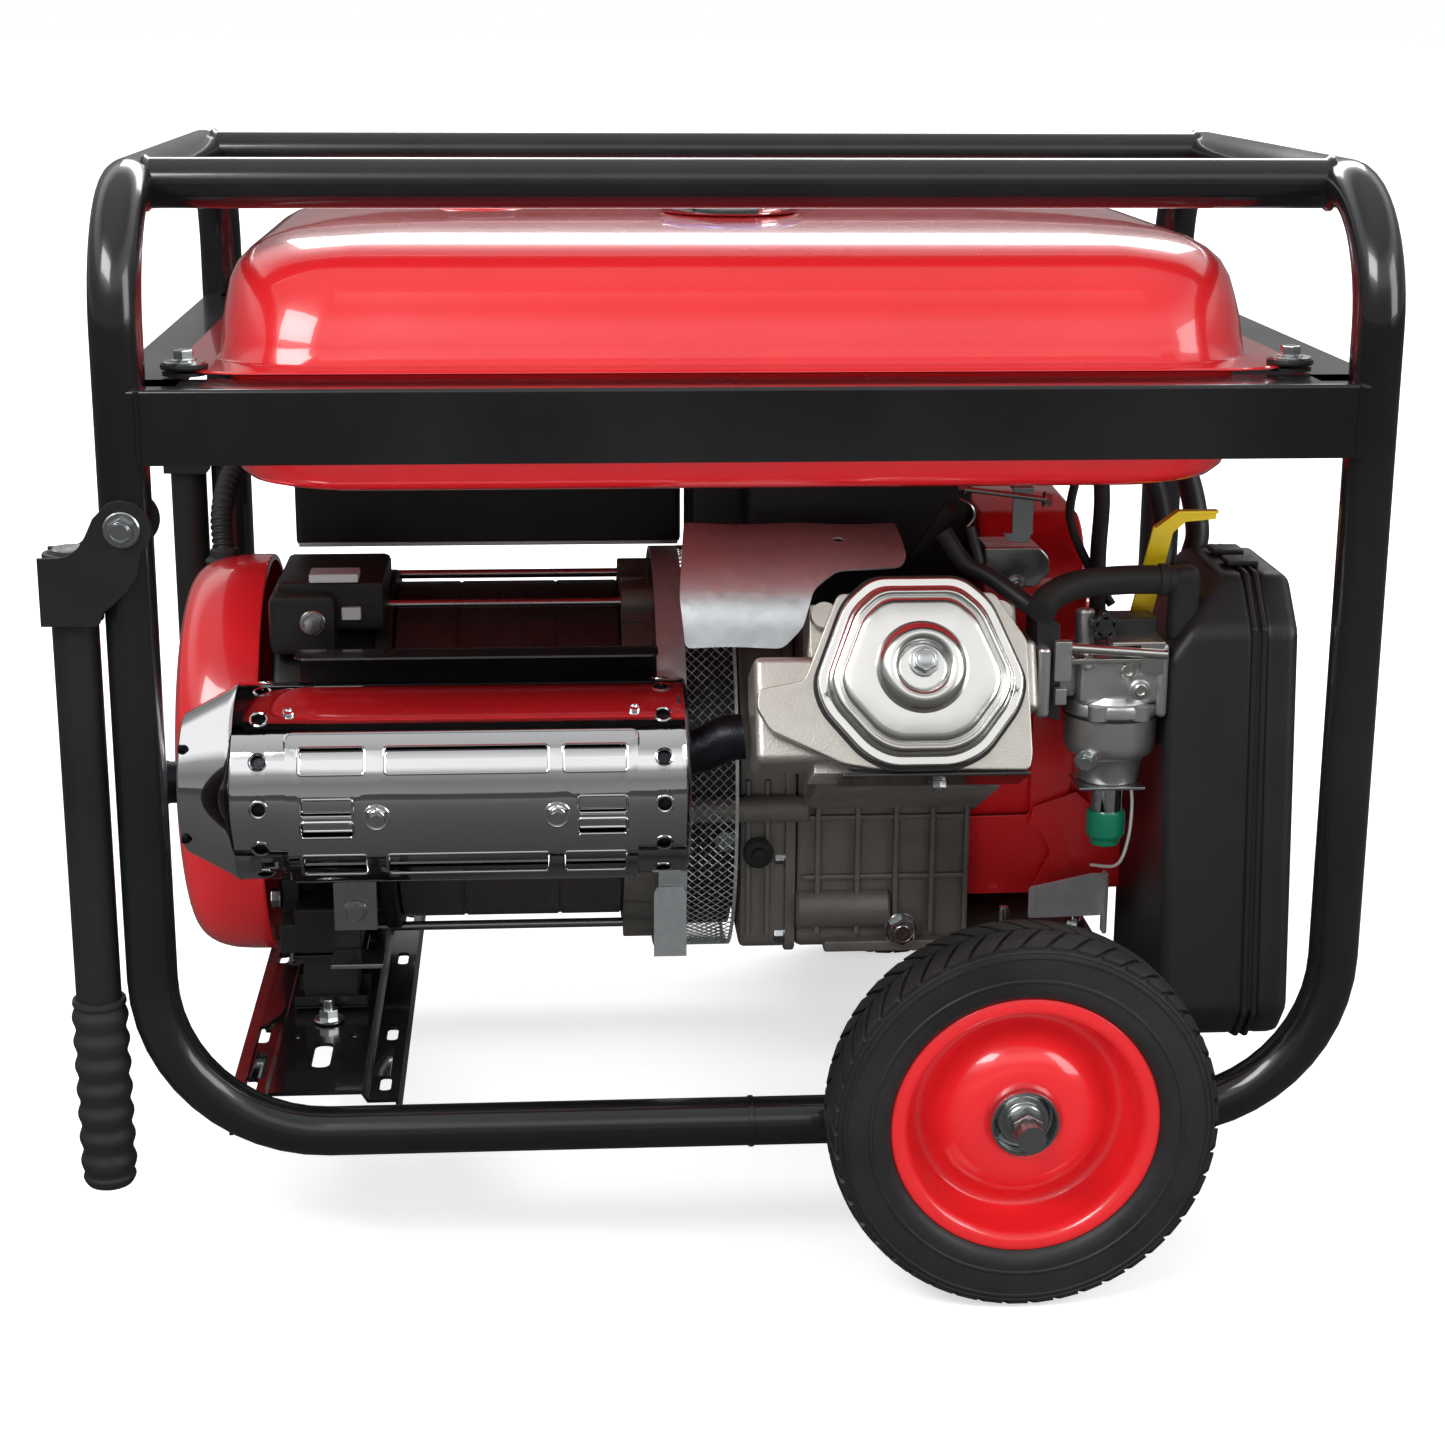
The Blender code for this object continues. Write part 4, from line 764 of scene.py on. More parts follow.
reach_x, reach_y = SIDE_X - 0.001, SIDE_Y - 0.0005
tray_runs = [angle_run(2 * reach_x, (-reach_x, -FACE_Y, TRAY_LOW), (1, 0, 0), (0, 1, 0)),
    angle_run(2 * reach_x, (-reach_x, FACE_Y, TRAY_LOW), (1, 0, 0), (0, -1, 0)),
    angle_run(2 * reach_y, (-FACE_X, -reach_y, TRAY_LOW), (0, 1, 0), (1, 0, 0)),
    angle_run(2 * reach_y, (FACE_X, -reach_y, TRAY_LOW), (0, 1, 0), (-1, 0, 0))]
for run in tray_runs:
    outer = [e for e in run.edges if all(v.co.z > TRAY_TOP - MERGE for v in e.verts)
        and (abs(abs(e.verts[0].co.y) - FACE_Y) < MERGE and abs(abs(e.verts[1].co.y) - FACE_Y) < MERGE
        or abs(abs(e.verts[0].co.x) - FACE_X) < MERGE and abs(abs(e.verts[1].co.x) - FACE_X) < MERGE)]
    rounded(run, outer, 0.0022, 4)
bead = [pipe([(sx * (SIDE_X - 0.0105), sy * (FACE_Y - 0.0004), z) for z in (TRAY_LOW + 0.001,
    TRAY_TOP - 0.001)], 0.0016, 10) for sx in (-1, 1) for sy in (-1, 1)]
keep("tray_angles", gather(*tray_runs, *bead), black_enamel, stands_for=["tank_tray"])

# %% [markdown]
# The cross members are pressed hat sections with rows of slots, so that one pressing fits several engines.
# Each is a punched sheet: its top, its two flanges and its sloping walls are flat strips with their own
# slots, drawn flat in one piece and then folded down along straight lines.

# %% Slotted cross members
HALF_HAT, HALF_BASE, BASE, HAT, LIP = 0.0265, 0.0475, 0.0125, 0.018, -0.008
WIDTH = SIDE_Y - TUBE - 0.0006


def fold(distance):
    """Where a point this far from the middle of the flat sheet lands on the section, as (x, z)."""
    side, run = (1 if distance > 0 else -1), abs(distance)
    wall = math.hypot(0.004, HAT - BASE)
    if run <= HALF_HAT:
        return side * run, HAT
    if run <= HALF_HAT + wall:
        t = (run - HALF_HAT) / wall
        return side * (HALF_HAT + 0.004 * t), HAT - (HAT - BASE) * t
    flat = HALF_BASE - HALF_HAT - 0.004
    if run <= HALF_HAT + wall + flat:
        return side * (HALF_HAT + 0.004 + run - HALF_HAT - wall), BASE
    return side * HALF_BASE, BASE - (run - HALF_HAT - wall - flat)


WALL_RUN = math.hypot(0.004, HAT - BASE)
EDGE_RUN = HALF_HAT + WALL_RUN + HALF_BASE - HALF_HAT - 0.004
FULL_RUN = EDGE_RUN + BASE - LIP
FLANGE_RUN = (HALF_HAT + WALL_RUN + EDGE_RUN) / 2
for name, middle, node in (("cross_member_left", -0.25, "cross_member_alternator"),
        ("cross_member_right", 0.2065, "cross_member_engine")):
    outline = [(-FULL_RUN, -WIDTH), (FULL_RUN, -WIDTH), (FULL_RUN, WIDTH), (-FULL_RUN, WIDTH)]
    holes = []
    for y in (-0.196, -0.12, 0.01, 0.085, 0.19):
        holes += [slot_loop(side * FLANGE_RUN, y, 0.0034, 0.011, 0.0034) for side in (-1, 1)]
    holes += [slot_loop(0, y, 0.0055, 0.019, 0.0055) for y in (-0.165, -0.005, 0.055, 0.105)]
    holes += [ring_loop(side * 0.017, y, 0.0032, 14) for side in (-1, 1) for y in (-0.135, 0.03, 0.115)]
    cuts = [("x", side * run) for side in (-1, 1) for run in (HALF_HAT, HALF_HAT + WALL_RUN, EDGE_RUN)]
    channel = punched(outline, holes, cuts)
    for v in channel.verts:
        x, z = fold(v.co.x)
        v.co = Vector((middle + x, v.co.y, z))
    keep(name, sheet_metal(channel, 0.0024), black_enamel, stands_for=[node])

# %% [markdown]
# The alternator and engine sit on rubber blocks bonded between two steel plates. The block bulges a
# little, the plates are black with folded ears, and a stud runs through into a zinc nut.

# %% Rubber mounts
def mount(name, node, x, y, low, high, body="frame"):
    """A bonded rubber mount between two heights, with its plates, stud and nut."""
    waist = (low + high) / 2
    rubber_part = block((-0.0155, -0.0145, low + 0.003), (0.0155, 0.0145, high - 0.003), 0.003)
    bmesh.ops.subdivide_edges(rubber_part, edges=[e for e in rubber_part.edges if e.calc_length() > 0.006],
        cuts=3, use_grid_fill=True)
    for v in rubber_part.verts:
        swell = 1 - ((v.co.z - waist) / ((high - low) / 2)) ** 2
        v.co.x *= 1 + 0.1 * swell
        v.co.y *= 1 + 0.1 * swell
    plates = [block((-0.0225, -0.02, z), (0.0225, 0.02, z + 0.003), 0.0008) for z in (low, high - 0.003)]
    ears = [block((-0.0225, side * 0.0188 - 0.0012, low + 0.001), (0.0225, side * 0.0188 + 0.0012,
        low + 0.008), 0.0005) for side in (-1, 1)]
    whole = gather((rubber_part, 1), *[(p, 0) for p in plates + ears])
    bmesh.ops.translate(whole, verts=whole.verts, vec=(x, y, 0))
    keep(name, whole, [black_enamel, rubber], body, stands_for=[node])


MOUNT_LOW = 0.0196
for end, y in (("front", -0.075), ("rear", 0.155)):
    mount(f"alternator_mount_{end}", f"mount_alternator_{end}", -0.25, y, MOUNT_LOW, 0.0547)
for end, y in (("front", -0.055), ("rear", 0.135)):
    mount(f"engine_mount_{end}", f"mount_engine_{end}", 0.2065, y, MOUNT_LOW, 0.0447)
nuts = [fastener((-0.25, -0.112, HAT + 0.0013), (0, 0, 1), 0.011, 0.006, 1.7, stud=0.006),
    fastener((-0.25, 0.192, HAT + 0.0013), (0, 0, 1), 0.011, 0.006, 1.7, stud=0.006),
    fastener((0.2065, -0.095, HAT + 0.0013), (0, 0, 1), 0.011, 0.006, 1.7, stud=0.006),
    fastener((0.2065, 0.172, HAT + 0.0013), (0, 0, 1), 0.011, 0.006, 1.7, stud=0.006)]
keep("mount_nuts", gather(*nuts), zinc_plate)


# %% [markdown]
# ## Wheels
# The tyres are solid rubber. Their walls carry fine raised rings, and their tread is cut into two rows of
# slanting blocks that point the same way. The carcass is turned on the lathe with a groove where the
# blocks go. One block is modelled with a few dozen faces, sheared into a chevron, and copied round.

# %% Tyres
WHEEL_R, WHEEL_Y = 0.11, 0.2815
carcass = [(0.0752, 0.0172), (0.0765, 0.0195), (0.079, 0.0218), (0.083, 0.0228), (0.0862, 0.0228),
    (0.0868, 0.0236), (0.088, 0.0236), (0.0886, 0.0229), (0.0935, 0.0231), (0.0985, 0.0229),
    (0.1003, 0.0228), (0.1008, 0.0236), (0.1018, 0.0235), (0.1023, 0.0225), (0.1034, 0.0222),
    (0.1039, 0.0228), (0.1048, 0.0225), (0.1055, 0.0205), (0.1068, 0.0165), (0.1074, 0.008), (0.1076, 0.0)]
carcass = carcass + [(r, -h) for r, h in reversed(carcass[:-1])]
BLOCKS = 46
block_angle = math.tau / BLOCKS


def tread_block(side):
    """One slanting block of the tread, lying at the wheel's +X side, on one side of its middle."""
    shape = block((-0.5, 0.0, 0.0), (0.5, 1.0, 1.0), 0.07, segments=1)
    bmesh.ops.subdivide_edges(shape, edges=[e for e in shape.edges
        if abs(e.verts[0].co.y - e.verts[1].co.y) > 0.5], cuts=2)
    for v in shape.verts:
        across, along, up = v.co.y, v.co.x, v.co.z
        angle = block_angle * (along * 0.8 + across * 0.95 + (0.5 if side > 0 else 0.0))
        h = side * (0.0007 + across * 0.0205)
        drop = 0.0024 * across**3
        radius = 0.1062 + (WHEEL_R - 0.0001 - 0.1062) * up - drop
        v.co = Vector((radius * math.cos(angle), radius * math.sin(angle), h))
    return shape


def tyre():
    """The carcass and its blocks, round the Z axis."""
    parts = [turned(carcass, 128)]
    for k in range(BLOCKS):
        for side in (-1, 1):
            parts.append(moved(tread_block(side), Matrix.Rotation(k * block_angle, 4, "Z")))
    return gather(*parts)


for end, side in (("front", 1), ("rear", -1)):
    facing = aim((AXLE.x, -side * WHEEL_Y, AXLE.z), (0, -side, 0))
    keep(f"tyre_tread_{end}", moved(tyre(), facing), tyre_rubber, f"wheel_{end}",
        stands_for=[f"tyre_{end}"], sharp=math.radians(38))

# %% [markdown]
# The rim is two pressed steel dishes, painted red. From outside it shows a rolled flange, a deep round
# channel and a broad dome in the middle with a zinc cup that holds the bearing. One smooth profile gives
# all of it, drawn with curves so that the highlights run round without a break.

# %% Rims, hub cups and axle nuts
def smooth_profile(points, steps=6):
    """A curve through (radius, height) pairs."""
    return [(max(p.x, 0.0), p.y) for p in curve_through([(r, h, 0) for r, h in points], steps)]


face = smooth_profile([(0.0195, 0.0105), (0.024, 0.0118), (0.032, 0.0108), (0.04, 0.0068), (0.047, 0.0),
    (0.0525, -0.0062), (0.0575, -0.008), (0.0615, -0.0045), (0.064, 0.005), (0.0655, 0.014), (0.068, 0.0182),
    (0.0715, 0.0192), (0.0748, 0.0186), (0.0758, 0.017)])
rim_outline = face + [(0.07, 0.0165), (0.0696, -0.0165), (0.0758, -0.017), (0.0735, -0.0192),
    (0.068, -0.0185), (0.0655, -0.015), (0.063, -0.011), (0.056, -0.0105), (0.04, -0.001), (0.0195, -0.001),
    (0.0195, 0.0105)]
for end, side in (("front", 1), ("rear", -1)):
    facing = aim((AXLE.x, -side * WHEEL_Y, AXLE.z), (0, -side, 0))
    keep(f"rim_dish_{end}", turned(rim_outline, 96, facing), red_enamel, f"wheel_{end}",
        stands_for=[f"rim_{end}"], sharp=math.radians(60))
    cup = turned([(0.0196, 0.006), (0.0196, 0.015), (0.019, 0.016), (0.0178, 0.016), (0.0172, 0.015),
        (0.0168, 0.0075), (0.015, 0.0068), (0.0135, 0.0078), (0.0125, 0.0078), (0.012, 0.006),
        (0.0086, 0.006), (0.0086, -0.02), (0.0196, -0.02), (0.0196, 0.006)], 64, facing)
    keep(f"hub_cup_{end}", cup, zinc_plate, f"wheel_{end}")
    out = Vector((0, -side, 0))
    hub = Vector((AXLE.x, -side * WHEEL_Y, AXLE.z))
    stack = [washer(hub + out * 0.0082, out, 0.0145, 0.0086, 0.0022),
        washer(hub + out * 0.0106, out, 0.0118, 0.0086, 0.0018)]
    nut = fastener(hub + out * 0.0125, out, 0.0165, 0.0105, 1.28)
    tip = turned([(0, 0.022), (0.0079, 0.022), (0.0079, 0.035), (0.007, 0.0366), (0.0052, 0.0366),
        (0.0046, 0.0356), (0, 0.0356)], 32, aim(hub, out))
    keep(f"axle_nut_{end}", gather(*stack, nut, tip), zinc_plate)

# %% [markdown]
# ## Folding handles
# Each handle hangs from the frame on a clevis: two cheeks pressed from one plate hug the upright, and run
# down into a collar that holds the tube. The cheek's outline is drawn with its round eye at the bolt and a
# swept neck. The grip is turned rubber with seven finger ridges.

# %% Handles
PIVOT_Z, ARM_X, ARM_R = 0.353, -0.03, 0.0125
GRIP_TOP, GRIP_LOW, GRIP_R = -0.2685, -0.382, 0.0155


def arc_points(x, y, radius, start, end, steps=12):
    """Points on an arc, angles in degrees."""
    angles = [math.radians(start + (end - start) * k / steps) for k in range(steps + 1)]
    return [(x + radius * math.cos(a), y + radius * math.sin(a)) for a in angles]


cheek_line = (arc_points(0, 0, 0.0155, -52, 118, 20) + [(-0.015, 0.006), (-0.0195, -0.0035),
    (-0.0235, -0.0098), (-0.0285, -0.0135), (-0.034, -0.0148), (-0.0452, -0.015), (-0.0452, -0.052),
    (-0.0165, -0.0525), (-0.014, -0.0505), (-0.0122, -0.045), (-0.006, -0.04), (0.0015, -0.033),
    (0.007, -0.0245)])
for end, y in (("front", -SIDE_Y), ("rear", SIDE_Y)):
    out = -1 if end == "front" else 1
    pivot = Vector((-SIDE_X, y, PIVOT_Z))
    upright = Matrix.Translation(pivot) @ Matrix.Rotation(math.pi / 2, 4, "X")
    cheeks = []
    for side in (-1, 1):
        middle = side * (TUBE + 0.002)
        cheeks.append(plate(cheek_line, 0.0025, 0.0006, upright @ shift(0, 0, -middle - 0.00125)))
    collar = turned([(ARM_R - 0.0005, -0.052), (0.015, -0.052), (0.0154, -0.0514), (0.0154, -0.0155),
        (0.015, -0.015), (ARM_R - 0.0005, -0.015)], 40, Matrix.Translation(pivot + Vector((ARM_X, 0, 0))))
    saddle = block((ARM_X + 0.004, -0.015, -0.0505), (-0.0165, 0.015, -0.017), 0.002,
        Matrix.Translation(pivot))
    stem = turned([(0, -0.014), (0.0112, -0.014), (ARM_R, -0.015), (ARM_R, GRIP_LOW + 0.006),
        (0, GRIP_LOW + 0.006)], 40, Matrix.Translation(pivot + Vector((ARM_X, 0, 0))))
    keep(f"handle_clevis_{end}", gather(*cheeks, collar, saddle, stem), satin_black,
        f"handle_{end}", stands_for=[f"handle_arm_{end}"])
    plug = turned([(0, -0.0122), (0.0096, -0.0124), (0.0106, -0.0132), (0.0106, -0.0142), (0, -0.0142)], 32,
        Matrix.Translation(pivot + Vector((ARM_X, 0, 0))))
    keep(f"handle_plug_{end}", plug, steel, f"handle_{end}")
    ridge, ridges = (GRIP_TOP - GRIP_LOW - 0.012) / 7, []
    for k in range(7):
        low = GRIP_LOW + 0.008 + k * ridge
        ridges += [(0.0139, low), (0.0143, low + ridge * 0.16), (GRIP_R, low + ridge * 0.42),
            (GRIP_R, low + ridge * 0.62), (0.0143, low + ridge * 0.86)]
    skin_line = smooth_profile([(0.0085, GRIP_LOW), (0.0125, GRIP_LOW + 0.0012), (0.0148, GRIP_LOW + 0.0055),
        *ridges, (0.0141, GRIP_TOP - 0.0045), (0.015, GRIP_TOP - 0.003), (0.0146, GRIP_TOP - 0.0004)], 3)
    grip = turned([(0, GRIP_LOW), *skin_line, (ARM_R + 0.0002, GRIP_TOP)], 48,
        Matrix.Translation(pivot + Vector((ARM_X, 0, 0))))
    keep(f"handle_rubber_{end}", grip, rubber, f"handle_{end}", stands_for=[f"handle_grip_{end}"],
        sharp=math.radians(50))
    bolt = fastener(pivot + Vector((0, out * 0.0174, 0)), (0, out, 0), 0.013, 0.0042, 1.5, recess=True)
    shank = turned([(0, -0.018), (0.004, -0.018), (0.004, 0.018), (0, 0.018)], 16, aim(pivot, (0, out, 0)))
    nut = fastener(pivot - Vector((0, out * 0.0174, 0)), (0, -out, 0), 0.011, 0.004, 1.4)
    keep(f"handle_bolt_{end}", gather(bolt, shank, nut), zinc_plate,
        stands_for=[f"handle_pivot_bolt_{end}"])

# %% [markdown]
# ## Fuel tank
# The tank is two deep pressings joined at a flange. Its shell leans in as it rises and rolls over into a
# gently crowned top, so every ring of the loft is a rounded rectangle with its own size and corner. The
# long sides have a shallow pressed panel, made by insetting the faces there and sinking them a little.

# %% Loft the tank
TANK_X = -0.0035
TANK_RINGS = [(0.255, 0.16, 0.358, 0.05), (0.268, 0.174, 0.359, 0.053), (0.277, 0.185, 0.3625, 0.055),
    (0.282, 0.19, 0.368, 0.055), (0.2845, 0.1925, 0.376, 0.055), (0.285, 0.193, 0.39, 0.055),
    (0.285, 0.193, 0.427, 0.055), (0.286, 0.194, 0.4286, 0.055), (0.3105, 0.214, 0.4288, 0.045),
    (0.3115, 0.215, 0.4295, 0.045), (0.3105, 0.214, 0.4306, 0.045), (0.2915, 0.2015, 0.4308, 0.055),
    (0.2895, 0.199, 0.4325, 0.056), (0.289, 0.1965, 0.442, 0.059), (0.2885, 0.193, 0.452, 0.06),
    (0.287, 0.188, 0.462, 0.061), (0.285, 0.1815, 0.4725, 0.061), (0.281, 0.174, 0.481, 0.06),
    (0.2745, 0.164, 0.4875, 0.058), (0.266, 0.15, 0.4925, 0.055), (0.254, 0.134, 0.496, 0.053),
    (0.235, 0.112, 0.4985, 0.05), (0.205, 0.085, 0.5, 0.045), (0.15, 0.05, 0.5008, 0.03)]


def rounded_ring(length, width, corner, steps=10, along=14, across=9):
    """A rounded rectangle as a closed line of points, with points along its straight sides too."""
    line = []
    centres = [(length - corner, width - corner, 0), (-length + corner, width - corner, 90),
        (-length + corner, -width + corner, 180), (length - corner, -width + corner, 270)]
    for (x, y, start), (nx, ny, _), cuts in zip(centres, centres[1:] + centres[:1], (along, across) * 2):
        arc = arc_points(x, y, corner, start, start + 90, steps)
        line += arc
        after = (nx + corner * math.cos(math.radians(start + 90)), ny
            + corner * math.sin(math.radians(start + 90)))
        line += [(arc[-1][0] + (after[0] - arc[-1][0]) * k / cuts, arc[-1][1]
            + (after[1] - arc[-1][1]) * k / cuts) for k in range(1, cuts)]
    return line


shell = bmesh.new()
rings = []
for length, width, z, corner in TANK_RINGS:
    points = [shell.verts.new((TANK_X + x, y, z)) for x, y in rounded_ring(length, width, corner)]
    rings.append([shell.edges.new((points[k - 1], points[k])) for k in range(len(points))])
for lower, upper in zip(rings, rings[1:]):
    bmesh.ops.bridge_loops(shell, edges=lower + upper)
bmesh.ops.holes_fill(shell, edges=rings[0] + rings[-1])
bmesh.ops.recalc_face_normals(shell, faces=shell.faces)
for side in (-1, 1):
    panel = [f for f in shell.faces if 0.4345 < f.calc_center_median().z < 0.47
        and abs(f.calc_center_median().x - TANK_X) < 0.221 and f.normal.y * side > 0.6]
    bmesh.ops.inset_region(shell, faces=panel, thickness=0.0035, depth=-0.0014, use_even_offset=True)
mouth = turned([(0.0255, 0.498), (0.03, 0.499), (0.03, 0.5075), (0.029, 0.508), (0.0262, 0.508),
    (0.0255, 0.5074), (0.0255, 0.498)], 48, shift(0, -0.025, 0))
keep("tank_shell", gather(shell, mouth), red_enamel, stands_for=["fuel_tank"],
    sharp=math.radians(50))

# %% [markdown]
# The cap is plated and still wears its crinkled blue protective film. Beside it the gauge sits in a low
# red boss. At each corner a bolt holds the flange to the tray through a rubber pad and a wide washer.

# %% Cap, gauge and hold-downs
FILLER = Vector((0, -0.025, 0))
cap_body = turned([(0.0395, 0.5018), (0.0418, 0.5015), (0.0425, 0.5022), (0.0425, 0.5085), (0.0418, 0.5105),
    (0.0395, 0.5118), (0.0, 0.5125)], 64, Matrix.Translation(FILLER))
ear = moved(block((-0.008, -0.0445, 0.5025), (0.008, 0.0445, 0.51), 0.002),
    Matrix.Translation(FILLER) @ Matrix.Rotation(math.radians(30), 4, "Z"))
keep("cap_plate", gather(cap_body, ear), chrome, "fuel_cap", stands_for=["fuel_cap"])
film = turned(smooth_profile([(0.043, 0.5065), (0.0433, 0.5095), (0.0422, 0.5122), (0.0395, 0.5138),
    (0.03, 0.5146), (0.02, 0.5134), (0.01, 0.515), (0.0, 0.5146)], 5), 96, Matrix.Translation(FILLER))
for v in film.verts:
    angle = math.atan2(v.co.y - FILLER.y, v.co.x)
    crease = 0.5 * math.sin(11 * angle
        + 900 * v.co.z) + 0.3 * math.sin(23 * angle) + 0.2 * math.sin(37 * angle + 2)
    v.co.z += 0.0005 * crease
    v.co.xy += (v.co.xy - FILLER.xy).normalized() * 0.0003 * crease if v.co.xy != FILLER.xy else Vector((0,
        0))
keep("cap_film", film, blue_film, "fuel_cap")
GAUGE = Vector((-0.15, 0.02, 0.4985))
boss = turned([(0.03, 0.0), (0.0285, 0.0028), (0.0255, 0.004), (0.0, 0.004)], 56, Matrix.Translation(GAUGE))
keep("gauge_boss", boss, red_enamel)
dial = turned([(0.0, 0.0108), (0.0165, 0.0108), (0.0195, 0.0102), (0.0205, 0.009), (0.0205, 0.0042),
    (0, 0.0042)], 48, Matrix.Translation(GAUGE))
window = turned([(0.0, 0.0112), (0.0135, 0.0112), (0.0145, 0.0109), (0, 0.0109)], 40,
    Matrix.Translation(GAUGE))
needle = block((-0.0008, -0.009, 0.0112), (0.0008, 0.006, 0.0118), 0.0002, Matrix.Translation(GAUGE))
keep("fuel_gauge", gather((dial, 0), (window, 1), (needle, 2)), [black_plastic, grey_plastic, red_plastic])
pads, bolts = [], []
for x in (-0.303, 0.303):
    for y in (-0.197, 0.197):
        spot = Vector((TANK_X + x, y, 0.4306))
        pads.append(turned([(0, 0), (0.0125, 0), (0.013, 0.0012), (0.0125, 0.0028), (0, 0.0028)], 32,
            Matrix.Translation(spot)))
        pads.append(turned([(0, -0.002), (0.012, -0.002), (0.012, -0.0002), (0, -0.0002)], 32,
            Matrix.Translation(spot - Vector((0, 0, 0.0014)))))
        bolts.append(washer(spot + Vector((0, 0, 0.0028)), (0, 0, 1), 0.0115, 0.004, 0.0014))
        bolts.append(fastener(spot + Vector((0, 0, 0.0042)), (0, 0, 1), 0.01, 0.005, 1.4))
keep("tank_pads", gather(*pads), rubber)
keep("tank_bolts", gather(*bolts), zinc_plate)

# %% [markdown]
# ## Muffler
# Under its chrome a muffler is a plain dark can. A perforated skin is rolled round it, with a column of
# holes at each end to let heat out, and a slotted guard stands off in front. Both are punched sheets: they
# are drawn flat, with the run round the cylinder as their second axis, and then rolled.

# %% Roll a punched sheet round the muffler
MUFFLER = Vector((0, -0.15, 0.184))
SKIN_R, GUARD_R = 0.0562, 0.0598


def rolled(sheet, radius, thick):
    """Rolls a flat punched sheet, its run being height above the front line, and thickens it outwards."""
    for v in sheet.verts:
        rise = v.co.y / radius
        v.co = MUFFLER + Vector((v.co.x, -radius * math.cos(rise), radius * math.sin(rise)))
    return sheet_metal(sheet, thick)


def run(radius, degrees):
    """Distance round the sheet for an angle above the front line."""
    return radius * math.radians(degrees)


HOLE_RISES = (106, 80, 54, 27, 0, -26, -52)
half_turn = run(SKIN_R, 179.6)
skin_outline = [(-0.2925, -half_turn), (-0.0365, -half_turn), (-0.0365, half_turn), (-0.2925, half_turn)]
skin_holes = [ring_loop(x, run(SKIN_R, rise), 0.0041, 16) for x in (-0.2765, -0.048) for rise in HOLE_RISES]
skin_cuts = [("y", run(SKIN_R, a)) for a in range(-176, 180, 4)]
wrap = rolled(punched(skin_outline, skin_holes, skin_cuts), SKIN_R, 0.001)
lips = []
for x in (-0.2765, -0.048):
    for rise in HOLE_RISES:
        a = math.radians(rise)
        out = Vector((0, -math.cos(a), math.sin(a)))
        lips.append(turned([(0.004, 0), (0.0052, 0.0001), (0.0054, 0.0005), (0.0047, 0.0008),
            (0.004, 0.0005), (0.004, 0)], 24, aim(MUFFLER + Vector((x, 0, 0)) + out * (SKIN_R + 0.0008),
            out)))
end_cone = turned([(0.012, 0.3245), (0.038, 0.324), (0.0405, 0.3225), (0.0555, 0.2955), (0.0572, 0.2935),
    (0.0576, 0.2915), (0.056, 0.291)], 64, Matrix.Translation(MUFFLER) @ aim((0, 0, 0), (-1, 0, 0)))
end_plate = turned([(0.0575, 0.0372), (0.0578, 0.0355), (0.056, 0.0335), (0.053, 0.0325), (0.0, 0.0325)], 64,
    Matrix.Translation(MUFFLER) @ aim((0, 0, 0), (-1, 0, 0)))
studs = [cap_screw(MUFFLER + Vector((x, 0, 0)) + out * (SKIN_R + 0.0008), out, 0.0034, 0.0022)
    for x in (-0.26, -0.064) for out in [Vector((0, -math.cos(1.02), math.sin(1.02)))]]
keep("muffler_skin", gather(wrap, *lips, end_cone, end_plate, *studs), chrome,
    stands_for=["muffler"])
can = turned([(0, 0.293), (0.054, 0.292), (0.054, 0.036), (0, 0.035)], 48,
    Matrix.Translation(MUFFLER) @ aim((0, 0, 0), (-1, 0, 0)))
tail = turned([(0.0098, 0.323), (0.0122, 0.323), (0.0122, 0.333), (0.0128, 0.334), (0.0128, 0.3372),
    (0.012, 0.3376), (0.0104, 0.337), (0.0098, 0.334), (0.0098, 0.323)], 36,
    Matrix.Translation(MUFFLER) @ aim((0, 0, 0), (-1, 0, 0)))
tips = [cap_screw(MUFFLER + Vector((-0.319, -0.042 * math.cos(a), 0.042 * math.sin(a))), (-1, 0, 0), 0.0026,
    0.004) for a in (0.75, -0.6, 2.2, -2.2)]
port = pipe(curve_through([(-0.036, -0.15, 0.196), (-0.022, -0.151, 0.2), (-0.01, -0.155, 0.207),
    (0.0005, -0.1555, 0.2085)], 5), 0.0135, 28)
keep("muffler_can", gather(can, tail, *tips, port), burnt_steel)

# %% [markdown]
# The slotted guard has three rows of rounded slots with a raised lip round each, and two bolts in domed
# seats. Each lip is a thin wire that follows its slot's outline on the rolled surface.

# %% Slotted guard
LEFT_EDGE, RIGHT_EDGE = -0.261, -0.063
LIP_R = 0.00075
rows = []
for low, high in ((19, 34), (-46, -28)):
    rows += [(-0.2538, -0.2168, low, high), (-0.2056, -0.1136, low, high), (-0.1052, -0.069, low, high)]
rows += [(-0.2532, -0.2235, -3.5, 6.0), (-0.2532, -0.2235, -16, -6.5), (-0.0972, -0.0692, -3.5, 6.0),
    (-0.0972, -0.0692, -16, -6.5)]
slots = []
for left, right_end, low, high in rows:
    y0, y1 = run(GUARD_R, low), run(GUARD_R, high)
    slots.append(slot_loop((left + right_end) / 2, (y0 + y1) / 2, (right_end - left) / 2, (y1 - y0) / 2,
        0.0022))
frame_line = slot_loop((LEFT_EDGE + RIGHT_EDGE) / 2, run(GUARD_R, -8), (RIGHT_EDGE - LEFT_EDGE) / 2,
    run(GUARD_R, 50), 0.004)
guard_cuts = [("y", run(GUARD_R, a)) for a in range(-56, 44, 4)]
guard = rolled(punched(frame_line, slots, guard_cuts), GUARD_R, 0.0012)


